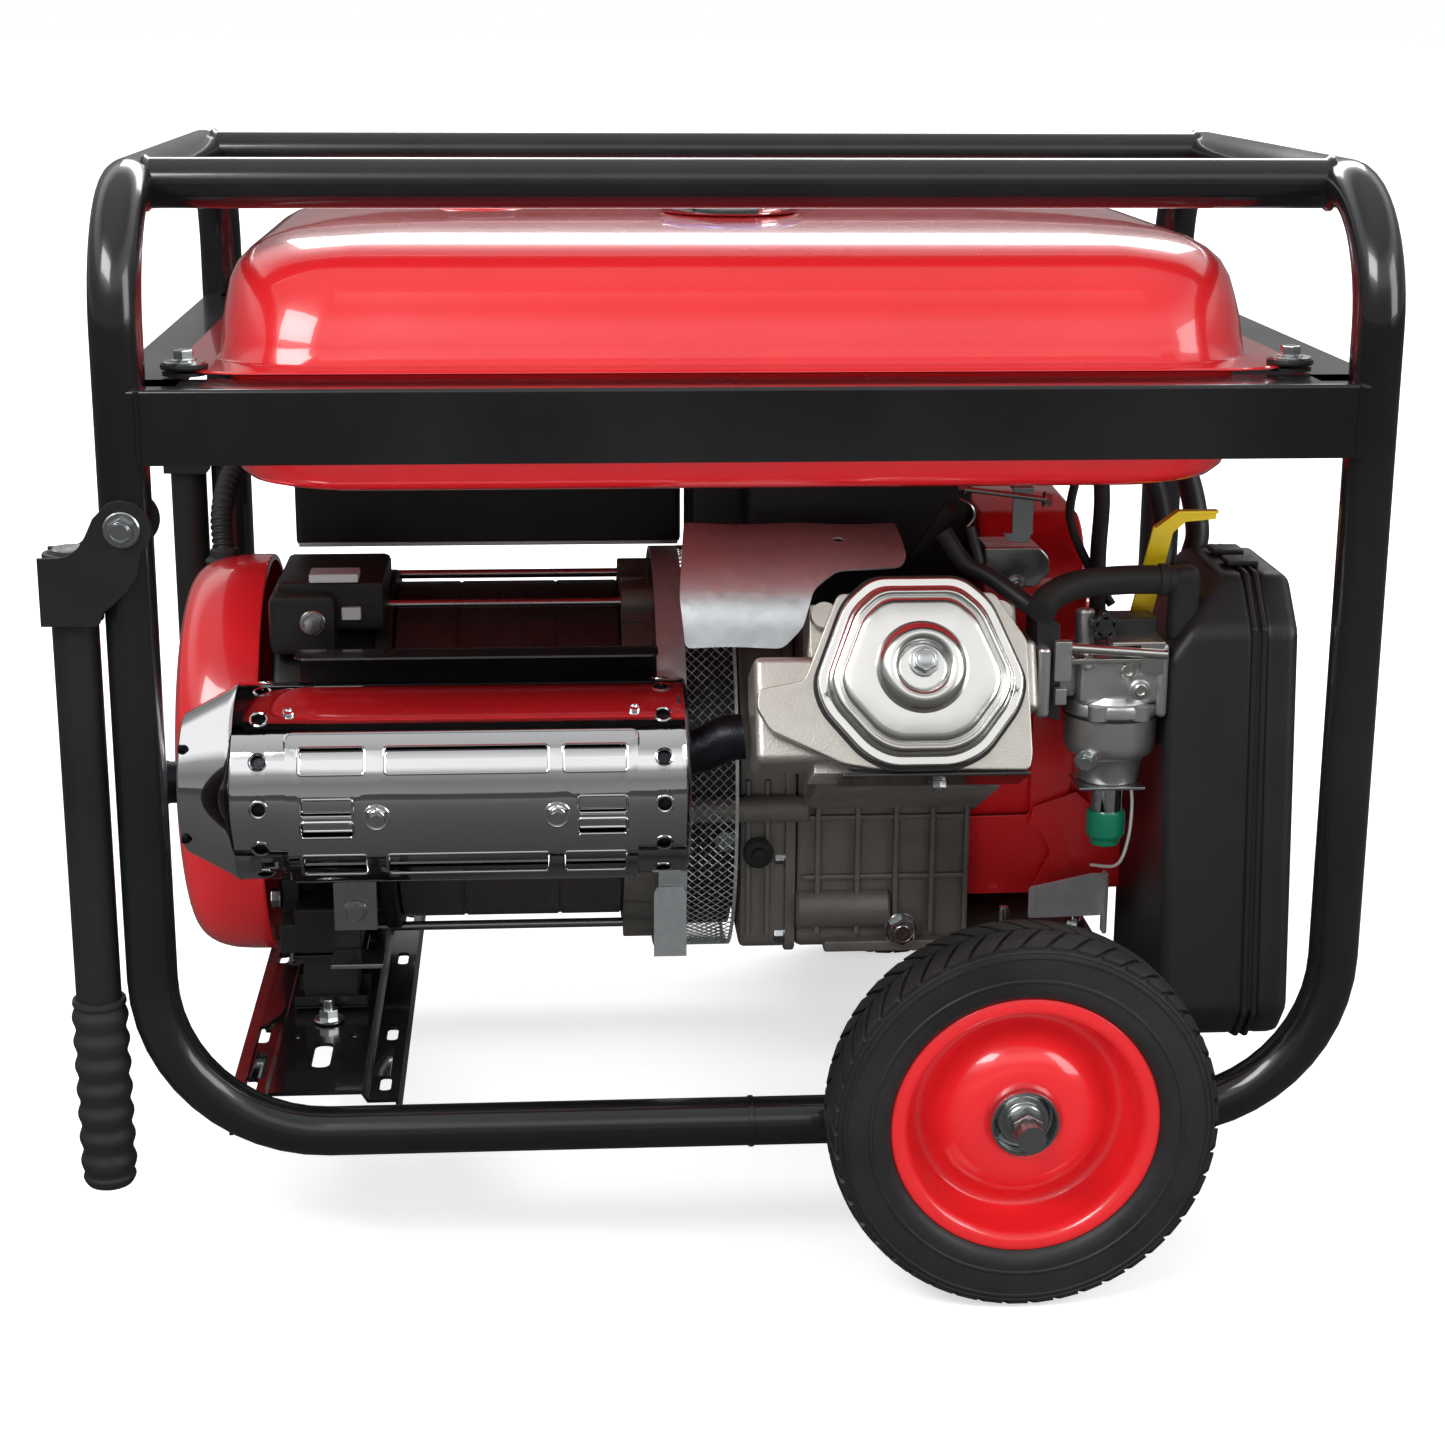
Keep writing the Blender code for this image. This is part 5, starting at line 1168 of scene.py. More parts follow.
def wire_round(line, radius, proud):
    """A closed wire that follows an outline on the rolled surface."""
    points = []
    for x, y in line + [line[0]]:
        rise = y / GUARD_R
        points.append(MUFFLER + Vector((x, -(GUARD_R + proud) * math.cos(rise),
            (GUARD_R + proud) * math.sin(rise))))
    return pipe(points, radius, 8, closed=False)


lips = [wire_round(line, LIP_R, 0.0012) for line in slots] + [wire_round(frame_line, 0.0012, 0.0004)]
seats = []
for x in (-0.2105, -0.109):
    a = math.radians(-4.5)
    out = Vector((0, -math.cos(a), math.sin(a)))
    seat = MUFFLER + Vector((x, 0, 0)) + out * (GUARD_R + 0.0008)
    seats.append(turned([(0.0082, 0), (0.0078, 0.001), (0.0064, 0.0016), (0.0054, 0.001), (0, 0.001)], 36,
        aim(seat, out)))
    seats.append(fastener(seat + out * 0.001, out, 0.0068, 0.002, 1.45))
keep("muffler_guard", gather(guard, *lips, *seats), chrome, stands_for=["muffler_heat_shield"])

# %% [markdown]
# Behind the muffler a dark sheet shields the alternator, and over the exhaust port a bright pressed sheet
# rolls forward and down like a small roof, cut away round the rocker cover. It is punched flat and then
# bent along a smooth section.

# %% Heat shields
def bent_along(sheet, section, fine=6):
    """Lays a flat sheet's second axis along a smooth (y, z) section."""
    line = curve_through([(0, y, z) for y, z in section], fine)
    runs = [0.0]
    for a, b in zip(line, line[1:]):
        runs.append(runs[-1] + (b - a).length)
    for v in sheet.verts:
        distance = min(max(v.co.y, 0), runs[-1])
        k = max(i for i, length in enumerate(runs) if length <= distance + 1e-9)
        k = min(k, len(line) - 2)
        t = (distance - runs[k]) / (runs[k + 1] - runs[k])
        point = line[k].lerp(line[k + 1], t)
        v.co = Vector((v.co.x, point.y, point.z))
    return sheet


roof_line = loop([(-0.034, 0.0), (0.022, 0.0), (0.034, 0.012), (0.041, 0.034), (0.056, 0.048),
    (0.094, 0.052), (0.098, 0.062), (0.098, 0.118), (-0.03, 0.118), (-0.037, 0.03)], 0.004, 5)
roof = bent_along(punched(roof_line, [ring_loop(0.06, 0.085, 0.0035)],
    [("y", 0.004 * k) for k in range(1, 30)] + [("x", 0.008 * k) for k in range(-4, 12)]),
    [(-0.164, 0.264), (-0.16, 0.281), (-0.15, 0.296), (-0.13, 0.307), (-0.1, 0.314), (-0.074, 0.317),
    (-0.05, 0.318)])
for v in roof.verts:
    v.co.z += 0.0011 * math.sin(55 * v.co.x + 40 * v.co.y) * math.sin(38 * v.co.x - 20 * v.co.y + 1)
keep("exhaust_roof", sheet_metal(roof, 0.0012), galvanised, stands_for=["exhaust_heat_shield"])
back_line = loop([(-0.262, 0.0), (-0.0475, 0.0), (-0.0475, 0.176), (-0.262, 0.176)], 0.006, 5)
back = bent_along(punched(back_line, [], [("y", 0.005 * k) for k in range(1, 36)]),
    [(-0.082, 0.105), (-0.082, 0.15), (-0.082, 0.2), (-0.0825, 0.231), (-0.087, 0.243), (-0.096, 0.2495),
    (-0.11, 0.2505), (-0.122, 0.25)])
keep("muffler_back_sheet", sheet_metal(back, 0.0013), dark_sheet,
    stands_for=["muffler_inner_guard"])
strap = plate([(-0.013, 0.0), (0.013, 0.0), (0.013, 0.052), (0.009, 0.058), (-0.009, 0.058),
    (-0.013, 0.052)], 0.003, 0.0005, shift(-0.231, -0.118, 0.08) @ FRONT)
strap_bolt = fastener((-0.231, -0.1212, 0.093), (0, -1, 0), 0.01, 0.005, 1.4)
tab = block((-0.247, -0.1235, 0.056), (-0.215, -0.096, 0.059), 0.0008)
keep("muffler_strap", gather(strap, strap_bolt, tab), zinc_plate)

# %% [markdown]
# ## Alternator
# The stator is a stack of steel stampings between two castings, drawn together by four long bright rods.
# The front casting is a cone with an open, notched edge. The rear one carries the feet and a boxed
# terminal seat, and a smooth red cover closes the end.

# %% Stator and its castings
SHAFT = Vector((0, 0.04, 0.148))
ALONG = Matrix.Translation(SHAFT) @ aim((0, 0, 0), (1, 0, 0))
core = [(0.0765, -0.209), (0.1085, -0.209), (0.11, -0.2075), (0.11, -0.17), (0.1092, -0.1695),
    (0.1092, -0.168), (0.11, -0.1675), (0.11, -0.1085), (0.1092, -0.108), (0.1092, -0.1065), (0.11, -0.106),
    (0.11, -0.0685), (0.1085, -0.067), (0.0765, -0.067), (0.0765, -0.209)]
keep("stator_stack", turned(core, 96, ALONG), laminations, stands_for=["stator_core"])
rods, ends = [], []
for side in (-1, 1):
    for rise in (-1, 1):
        spot = Vector((0, SHAFT.y + side * 0.045, SHAFT.z + rise * 0.1075))
        rods.append(pipe([spot + Vector((-0.248, 0, 0)), spot + Vector((-0.025, 0, 0))], 0.003, 16))
        ends.append(fastener(spot + Vector((-0.248, 0, 0)), (-1, 0, 0), 0.009, 0.005, 1.4, stud=0.003))
keep("stator_rods", gather(*rods, *ends), zinc_plate)
front_casting = [(0.1, -0.0667), (0.114, -0.0667), (0.115, -0.064), (0.1165, -0.05), (0.118, -0.048),
    (0.118, -0.024), (0.117, -0.023), (0.109, -0.023), (0.107, -0.048), (0.1, -0.0667)]
lugs = []
for side in (-1, 1):
    for rise in (-1, 1):
        spot = Vector((0, SHAFT.y + side * 0.045, SHAFT.z + rise * 0.1075))
        lugs.append(moved(turned([(0, -0.0662), (0.009, -0.0662), (0.0095, -0.065), (0.0095, -0.03),
            (0.0085, -0.028), (0, -0.028)], 24, aim((0, 0, 0), (1, 0, 0))), Matrix.Translation(spot)))
fins = []
for k in range(14):
    a = math.tau * k / 14 + 0.1
    fin = block((-0.066, -0.0016, 0.112), (-0.05, 0.0016, 0.1175), 0.0005)
    fins.append(moved(fin, Matrix.Translation(SHAFT) @ Matrix.Rotation(a, 4, "X")))
keep("alternator_front_casting", gather(turned(front_casting, 72, ALONG), *lugs, *fins), cast_grey,
    stands_for=["alternator_front_bracket"])
rear_casting = [(0.0185, -0.286), (0.06, -0.2868), (0.09, -0.2855), (0.112, -0.2835), (0.1165, -0.2815),
    (0.118, -0.278), (0.118, -0.264), (0.117, -0.262), (0.113, -0.26), (0.113, -0.222), (0.117, -0.22),
    (0.118, -0.218), (0.118, -0.211), (0.117, -0.2096), (0.104, -0.2096), (0.104, -0.27), (0.04, -0.274),
    (0.0185, -0.27), (0.0185, -0.286)]
seat = block((-0.279, -0.045, 0.248), (-0.213, 0.045, 0.279), 0.004)
nose = block((-0.283, -0.056, 0.235), (-0.242, 0.01, 0.273), 0.005)
feet = [block((-0.271, y - 0.02, 0.0552), (-0.23, y + 0.02, 0.085), 0.003) for y in (-0.075, 0.155)]
ties = [block((-0.28, -0.095, 0.0556), (-0.269, 0.175, 0.075), 0.002),
    block((-0.28, -0.075, 0.074), (-0.269, 0.155, 0.098), 0.002)]
ribs = []
for k in range(16):
    a = math.tau * k / 16
    rib = block((-0.262, -0.002, 0.112), (-0.22, 0.002, 0.1172), 0.0006)
    ribs.append(moved(rib, Matrix.Translation(SHAFT) @ Matrix.Rotation(a, 4, "X")))
keep("alternator_rear_casting", gather(turned(rear_casting, 72, ALONG), seat, nose, *feet, *ties, *ribs),
    satin_black, stands_for=["alternator_rear_bracket"])
seat_bolts = [fastener((-0.256, -0.056, 0.256), (0, -1, 0), 0.0105, 0.0045, 1.5),
    fastener((-0.28, -0.075, 0.086), (-1, 0, 0), 0.01, 0.005, 1.4)]
keep("terminal_bolts", gather(*seat_bolts), zinc_plate)
keep("terminal_blocks", gather(block((-0.258, -0.05, 0.2795), (-0.228, -0.03, 0.285), 0.001),
    block((-0.239, -0.05, 0.256), (-0.227, -0.0452, 0.264), 0.001)), grey_plastic)
dome = smooth_profile([(0.127, -0.2895), (0.1288, -0.29), (0.129, -0.295), (0.1288, -0.308), (0.1275, -0.32),
    (0.1235, -0.331), (0.1165, -0.3385), (0.106, -0.3422), (0.095, -0.343), (0.05, -0.343), (0.0, -0.343)], 5)
# Painted shade: ten thin black strips on the end of the cover paint the shade inside its vent openings.
vent_shade_strips = []
for k in range(10):
    a = math.tau * k / 10
    vent_shade_strips.append(moved(block((-0.3436, -0.003, 0.045), (-0.3426, 0.003, 0.085), 0.0004),
        Matrix.Translation(SHAFT) @ Matrix.Rotation(a, 4, "X")))
keep("end_cover_dome", gather((turned([(0.125, -0.2895), *dome], 96, ALONG), 0), *[(v, 1) for v in vent_shade_strips]),
    [red_enamel, gasket], stands_for=["alternator_end_cover"])

# %% [markdown]
# A guard of expanded metal closes the gap between alternator and engine. Expanded metal is a sheet slit and
# pulled, so its openings are flat diamonds. A net of four-sided faces is laid round the shaft and turned
# into wires, with a dark drum behind it.

# %% Mesh guard
MESH_R, MESH_LOW, MESH_HIGH = 0.1318, -0.028, 0.003
COLUMNS, ROWS = 132, 5
mesh_guard = bmesh.new()
row_height = (MESH_HIGH - MESH_LOW) / ROWS
column = math.tau / COLUMNS


def on_guard(column_number, row_number, proud=0.0):
    """A point of the diamond net."""
    angle = column_number * column
    x = MESH_LOW + row_number * row_height
    return SHAFT + Vector((x, (MESH_R + proud) * math.cos(angle), (MESH_R + proud) * math.sin(angle)))


for k in range(COLUMNS):
    for row in range(ROWS):
        corners = [(k, row + 0.5), (k + 0.5, row), (k + 1, row + 0.5), (k + 0.5, row + 1)]
        mesh_guard.faces.new([mesh_guard.verts.new(on_guard(*corner)) for corner in corners])
bmesh.ops.remove_doubles(mesh_guard, verts=mesh_guard.verts, dist=MERGE)
bmesh.ops.recalc_face_normals(mesh_guard, faces=mesh_guard.faces)
bmesh.ops.wireframe(mesh_guard, faces=mesh_guard.faces[:], thickness=0.00075, use_replace=True,
    use_boundary=True, use_even_offset=True)
band = turned([(0.13, -0.046), (0.132, -0.046), (0.132, -0.0282), (0.13, -0.0282), (0.13, -0.046)], 96, ALONG)
rim_band = turned([(0.1302, 0.001), (0.132, 0.001), (0.132, 0.003), (0.1302, 0.003), (0.1302, 0.001)], 96,
    ALONG)
drum = turned([(0, -0.044), (0.118, -0.044), (0.118, 0.002), (0, 0.002)], 72, ALONG)
keep("coupling_drum", drum, satin_black)
keep("coupling_mesh", gather(mesh_guard, band, rim_band), galvanised, stands_for=["coupling_guard"])
tab = plate([(-0.049, 0.044), (-0.0285, 0.044), (-0.0285, 0.086), (-0.031, 0.09), (-0.047, 0.09),
    (-0.049, 0.086)], 0.0012, 0.0003, shift(0, -0.079, 0.0) @ FRONT)
keep("guard_tab", tab, galvanised)

# %% [markdown]
# The wires to the panel run in a ribbed conduit. Its rings are part of the tube: the radius swells and
# shrinks along its run, forty times, and a soft boot closes its lower end.

# %% Ribbed conduit
route = curve_through([(-0.322, 0.06, 0.276), (-0.324, 0.075, 0.3), (-0.32, 0.105, 0.32),
    (-0.308, 0.135, 0.329), (-0.2955, 0.156, 0.331), (-0.2835, 0.159, 0.331)], 26)
widths = [0.0074 if k % 4 < 2 else 0.0065 for k in range(len(route))]
boot = turned([(0.0, 0.27), (0.012, 0.27), (0.0125, 0.272), (0.0095, 0.2745), (0.009, 0.279), (0.0078, 0.28),
    (0, 0.28)], 32, shift(-0.3215, 0.059, 0))
keep("conduit_ribs", gather(pipe(route, widths, 20), boot), rubber, stands_for=["conduit"])

# %% [markdown]
# ## Engine
# The cylinder leans forward, so its parts are drawn in a frame of their own: X along the crankshaft, Y up
# the face of the head and Z out along the bore.

# %% Leaning frame and the stepped casting
LEAN = 25
BORE = shift(0.098, 0.04, 0.148) @ Matrix.Rotation(math.radians(90 - LEAN), 4, "X")


def stepped(outline, levels, corner=0.008, steps=6):
    """A cast lid: its outline is drawn again at every (inset, height) level and the rings are bridged."""
    line = loop(outline, corner, steps)
    half = max(abs(x) for x, _ in line), max(abs(y) for _, y in line)
    shape, rings = bmesh.new(), []
    for inset, height in levels:
        ring = [shape.verts.new((x * (1 - inset / half[0]), y * (1 - inset / half[1]), height))
                for x, y in line]
        rings.append([shape.edges.new(pair) for pair in zip(ring, ring[1:] + ring[:1])])
    for first, second in zip(rings, rings[1:]):
        bmesh.ops.bridge_loops(shape, edges=first + second)
    bmesh.ops.holes_fill(shape, edges=rings[0] + rings[-1], sides=len(line))
    return shape


print("cylinder leans", LEAN, "degrees above the level")

# %% [markdown]
# The valve cover is the brightest thing on the machine. Its pressed steps catch the light one after the
# other: a flange, a raised rim, a groove, a wide flat panel, and a round boss with its nut in the middle.

# %% Valve cover and gasket
COVER_LINE = [(-0.06, -0.006), (-0.056, -0.022), (-0.034, -0.048), (-0.02, -0.0555), (0.02, -0.0555),
    (0.036, -0.048), (0.056, -0.022), (0.0605, -0.006), (0.042, 0.04), (0.026, 0.054), (-0.026, 0.054),
    (-0.042, 0.04)]
COVER_STEPS = [(0, 0), (0, 0.0038), (0.0007, 0.0048), (0.0015, 0.005), (0.0052, 0.005), (0.0062, 0.0054),
    (0.007, 0.007), (0.0078, 0.0096), (0.0088, 0.0108), (0.01, 0.0112), (0.0112, 0.0108), (0.0119, 0.0098),
    (0.0124, 0.0096), (0.013, 0.01), (0.014, 0.0116), (0.0154, 0.0126), (0.018, 0.0132), (0.03, 0.014)]
BOSS = smooth_profile([(0.0268, 0.0134), (0.0262, 0.015), (0.024, 0.0186), (0.0205, 0.0208), (0.017, 0.0208),
    (0.0142, 0.0186), (0.0128, 0.015), (0.012, 0.014), (0.0, 0.014)])
at_cover = BORE @ shift(0, 0, 0.254)
pressed = moved(gather(stepped(COVER_LINE, COVER_STEPS), turned(BOSS, 72)), at_cover)
centre_nut = fastener(at_cover @ Vector((0.001, 0.003, 0.0142)), BORE.to_3x3() @ Vector((0, 0, 1)), 0.0125,
    0.0055, 1.42, 0, True)
keep("valve_cover_pressing", gather((pressed, 0), (centre_nut, 1)), [polished, zinc_plate],
    stands_for=("valve_cover",), sharp=math.radians(48))
rubber_line = [(x * 1.035, y * 1.035) for x, y in COVER_LINE]
keep("valve_cover_gasket", moved(stepped(rubber_line, [(0.002, -0.0026), (0.0, -0.002), (0, -0.0006),
    (0.001, 0)]), at_cover), rubber)

# %% [markdown]
# The head is a stack of thick fins under a flat machined joint face. Its exhaust side reaches out to the
# left, its inlet side to the right, and long bolts hold it to the barrel.

# %% Cylinder head
HEAD_LINE = [(-0.092, -0.009), (-0.0935, -0.019), (-0.086, -0.033), (-0.045, -0.0525), (-0.027, -0.0557),
    (0.0615, -0.0575), (0.0635, -0.0487), (0.063, 0.018), (0.045, 0.046), (-0.045, 0.046), (-0.06, 0.01),
    (-0.066, -0.004)]
layers = [plate(HEAD_LINE, 0.0072, 0.0012, BORE @ shift(0, 0, 0.2462), 0.003)]
layers.append(plate([(x * 0.972, y * 0.972) for x, y in HEAD_LINE], 0.0068, 0.0012, BORE @ shift(0, 0, 0.24),
    0.003))
for rise in (0.1925, 0.2, 0.2075, 0.215, 0.2225, 0.23):
    layers.append(block((-0.06, -0.0555, rise), (0.061, 0.044, rise + 0.0032), 0.001, BORE))
layers.append(block((-0.052, -0.048, 0.1915), (0.054, 0.038, 0.242), 0.002, BORE))
layers.append(block((-0.094, -0.05, 0.196), (-0.05, 0.012, 0.244), 0.005, BORE, 3))
layers.append(block((0.05, -0.022, 0.2), (0.07, 0.02, 0.246), 0.004, BORE, 3))
for x, t in ((-0.052, 0.036), (0.05, 0.036), (0.052, -0.05), (-0.036, -0.047)):
    layers.append(turned([(0, 0.19), (0.0075, 0.19), (0.0075, 0.2425), (0, 0.2425)], 24,
        BORE @ shift(x, t, 0)))
keep("head_casting", gather(*layers), head_metal, stands_for=("cylinder_head",))
cover_strip = block((-0.045, -0.06, 0.213), (0.0625, -0.0574, 0.25), 0.0008, BORE)
strip_bolt = fastener(BORE @ Vector((0.012, -0.06, 0.233)), BORE.to_3x3() @ Vector((0, -1, 0)), 0.0075,
    0.004, 1.5, 0, True)
keep("head_lower_sheet", gather((cover_strip, 0), (strip_bolt, 1)), [dark_sheet, zinc_plate])

# %% [markdown]
# The crankcase is a dark sand casting: a deep body, a side cover with its bolted flange, ribs down the
# front, a thick seam where the two meet, a foot flange below and the finned barrel leaning out of it.

# %% Crankcase and side cover
CASE_LINE = [(-0.075, 0.045), (0.15, 0.045), (0.15, 0.19), (0.12, 0.232), (0.04, 0.25), (-0.04, 0.236),
    (-0.075, 0.165)]
body = [plate(CASE_LINE, 0.1097, 0.004, shift(0.0403, 0, 0) @ SIDE, 0.01)]
body.append(block((0.058, -0.082, 0.045), (0.232, 0.162, 0.0525), 0.0018))
for x in (0.052, 0.077, 0.101, 0.124, 0.1455):
    body.append(block((x, -0.0795, 0.056), (x + 0.0034, -0.07, 0.15), 0.0011))
for z in (0.092, 0.131):
    body.append(block((0.044, -0.0782, z), (0.149, -0.07, z + 0.0034), 0.0011))
body.append(block((-0.046, -0.05, 0.03), (0.048, 0.047, 0.193), 0.004, BORE))
for k in range(12):
    rise = 0.086 + 0.0086 * k
    body.append(block((-0.054, -0.058, rise), (0.056, 0.053, rise + 0.0026), 0.0008, BORE))
body.append(turned([(0, 0.0403), (0.012, 0.0403), (0.0135, 0.042), (0.0135, 0.098), (0.012, 0.0995),
    (0, 0.0995)], 40, shift(0, -0.071, 0.072) @ aim((0, 0, 0), (1, 0, 0))))
keep("crankcase_casting", gather(*body), cast_grey, stands_for=("crankcase",))
lid = [plate(CASE_LINE, 0.03, 0.003, shift(0.005, 0, 0) @ SIDE, 0.01)]
lid.append(plate([(y * 1.025, (z - 0.14) * 1.025 + 0.14) for y, z in CASE_LINE], 0.0068, 0.0014,
    shift(0.0333, 0, 0) @ SIDE, 0.01))
for x in (0.0085, 0.0205):
    lid.append(block((x, -0.0785, 0.056), (x + 0.0032, -0.07, 0.158), 0.001))
lid.append(turned([(0, -0.046), (0.0068, -0.046), (0.0082, -0.0445), (0.0082, 0.046), (0.0068, 0.0475),
    (0, 0.0475)], 32, shift(0, -0.0815, 0.1405) @ aim((0, 0, 0), (1, 0, 0))))
keep("side_cover_casting", gather(*lid), cast_grey, stands_for=("crankcase_cover",))
bolts = [fastener((0.0335, y, z), (-1, 0, 0), 0.01, 0.0055) for y, z in ((-0.071, 0.055), (-0.071, 0.105),
    (-0.058, 0.188), (0.0, 0.236), (0.082, 0.236), (0.143, 0.18), (0.146, 0.11))]
bolts.append(fastener((0.107, -0.08, 0.0595), (0, -1, 0), 0.015, 0.007, 1.45, 0, True))
bolts.append(fastener((-0.03, -0.0895, 0.1405), (0, -1, 0), 0.009, 0.005, 1.5, 0.004))
bolts.append(fastener((-0.004, -0.0785, 0.119), (0, -1, 0), 0.009, 0.005, 1.5))
bolts.append(fastener((0.171, -0.085, 0.0525), (0, 0, 1), 0.0115, 0.007, 1.4, 0.014))
bolts.append(fastener((0.22, -0.07, 0.0525), (0, 0, 1), 0.0115, 0.007, 1.4, 0.01))
keep("crankcase_bolts", gather(*bolts), zinc_plate)
keep("side_cover_plug", turned([(0, 0), (0.0085, 0), (0.0095, 0.0012), (0.0095, 0.005), (0.008, 0.0065),
    (0.0045, 0.0068), (0.004, 0.01), (0, 0.0104)], 32, aim((0.016, -0.0785, 0.112), (0, -1, 0))),
    black_plastic)

# %% [markdown]
# The red blower housing wraps the flywheel and sends its air up and forward over the fins. Three sheets
# are seen past the carburettor: a strip beside the head, a squared apron below it and a torn-edged panel in
# front. The starter is a shallow dish on the end, and its air slots are black patches that paint the shade
# inside them.

# %% Blower housing and shrouds
shell = turned(smooth_profile([(0.098, 0.1512), (0.1, 0.1535), (0.1, 0.2), (0.1, 0.242), (0.0968, 0.249),
    (0.09, 0.2515), (0.076, 0.252), (0.0625, 0.252)]) + [(0.0625, 0.25), (0.094, 0.248), (0.097, 0.24),
    (0.097, 0.152), (0.098, 0.1512)], 80, ALONG)
DUCT = [(-0.078, 0.205), (-0.078, 0.282), (-0.05, 0.318), (0.055, 0.322), (0.104, 0.285), (0.128, 0.205)]
duct = plate(DUCT, 0.064, 0.004, shift(0.154, 0, 0) @ SIDE, 0.014, 3)
STRIP = [(0.15, 0.077), (0.202, 0.077), (0.206, 0.105), (0.215, 0.15), (0.215, 0.206), (0.189, 0.206),
    (0.189, 0.129), (0.145, 0.1285), (0.145, 0.082)]
apron = plate(STRIP, 0.0018, 0.0006, shift(0, -0.064, 0) @ FRONT, 0.0022)
TORN = [(0.19, 0.08), (0.25, 0.082), (0.256, 0.12), (0.23, 0.134), (0.217, 0.1455), (0.1905, 0.136),
    (0.1875, 0.124), (0.196, 0.118), (0.202, 0.106)]
panel = plate(TORN, 0.0018, 0.0006, shift(0, -0.07, 0) @ FRONT)
keep("blower_shell", gather(shell, duct, apron, panel), red_enamel,
    stands_for=("blower_housing",))
LOWER_PLATE = [(0.1855, 0.069), (0.2325, 0.07), (0.2325, 0.098), (0.225, 0.098), (0.1855, 0.0895)]
guard_plate = plate(LOWER_PLATE, 0.0016, 0.0005, shift(0, -0.09, 0) @ FRONT, 0.002)
edge_fold = block((0.2315, -0.0985, 0.06), (0.2345, -0.09, 0.1), 0.001)
keep("blower_lower_plate", gather(guard_plate, edge_fold), galvanised)

dish = turned(smooth_profile([(0.085, 0.2526), (0.0862, 0.256), (0.085, 0.264), (0.079, 0.28),
    (0.072, 0.2905), (0.06, 0.296), (0.05, 0.2985), (0.025, 0.3), (0.0, 0.3002)])
    + [(0, 0.296), (0.048, 0.2945), (0.07, 0.286), (0.081, 0.264), (0.082, 0.2526), (0.085, 0.2526)], 80,
    ALONG)
# Painted shade: the eighteen air slots are thin black patches on the dish, dark where the shade inside the
# openings would be.
slots = []
for k in range(18):
    turn = Matrix.Rotation(math.tau * k / 18, 4, "Z")
    slots.append(block((0.033, -0.0022, 0.2975), (0.056, 0.0022, 0.2992), 0.0008, ALONG @ turn))
starter_bolts = [fastener(ALONG @ Vector((0.0865 * math.cos(a), 0.0865 * math.sin(a), 0.2532)), (1, 0, 0),
    0.009, 0.005) for a in (0.6, 2.7, 4.8)]
keep("starter_dish", gather((dish, 0), (gather(*slots), 1), (gather(*starter_bolts), 2)),
    [red_enamel, black_plastic, zinc_plate], stands_for=("recoil_starter",))
grip_line = [(0, 0), (0.0085, 0.0005), (0.0098, 0.004), (0.008, 0.01), (0.0072, 0.028), (0.008, 0.046),
    (0.0098, 0.052), (0.0085, 0.0555), (0, 0.056)]
keep("starter_grip", turned(smooth_profile(grip_line), 32, aim((0.3108, 0.042, 0.193), (0, 1, 0))), rubber,
    body="recoil_grip", stands_for=("recoil_grip",))

# %% [markdown]
# Under the tank the space is crowded: the governor's levers and springs, a bright mounting bracket, and the
# black hose bracket that runs down to the inlet. A satin black block paints the shade in the gap under the
# tank, between the panel box and the blower duct.

# %% Governor, brackets, the dark parts and a block of painted shade under the tank
# Painted shade: two satin black blocks fill the dark gap under the tank, between the panel box and the blower
# duct.
keep("painted_shade_block", gather(block((0.012, -0.03, 0.248), (0.153, 0.12, 0.344), 0.006, segments=3),
    block((-0.0205, 0.01, 0.268), (0.014, 0.112, 0.344), 0.004)), satin_black)
lever = gather(block((0.1613, -0.1212, 0.32), (0.1738, -0.1194, 0.348), 0.0006),
    block((0.1613, -0.1212, 0.3465), (0.1738, -0.11, 0.3485), 0.0006),
    plate([(0.156, 0.321), (0.159, 0.3165), (0.1655, 0.315), (0.1715, 0.3158), (0.173, 0.321)], 0.0018,
    0.0004, shift(0, -0.1194, 0) @ FRONT))
rod = gather(pipe([(0.133, -0.1225, 0.3478), (0.18, -0.1225, 0.3415)], 0.0017, 12),
    fastener((0.1325, -0.1225, 0.3479), (-0.99, 0, 0.13), 0.006, 0.004),
    fastener((0.179, -0.1225, 0.3417), (0.99, 0, -0.13), 0.007, 0.004),
    pipe(curve_through([(0.131, -0.112, 0.34), (0.138, -0.112, 0.336), (0.14, -0.112, 0.329),
    (0.136, -0.112, 0.323)]), 0.0009, 8))
keep("governor_levers", gather(lever, rod), zinc_plate)
keep("bright_bracket", gather(plate([(0.1465, 0.311), (0.148, 0.2985), (0.161, 0.2865), (0.1775, 0.2865),
    (0.1865, 0.295), (0.1855, 0.305), (0.18, 0.311)], 0.034, 0.0012, shift(0, -0.08, 0) @ FRONT, 0.002, 3),
    fastener((0.166, -0.114, 0.289), (0, -1, 0), 0.0075, 0.004, 1.4, 0.003)), zinc_plate)
spacer = [(0.169, 0.282), (0.183, 0.277), (0.185, 0.218), (0.1725, 0.2225), (0.17, 0.254)]
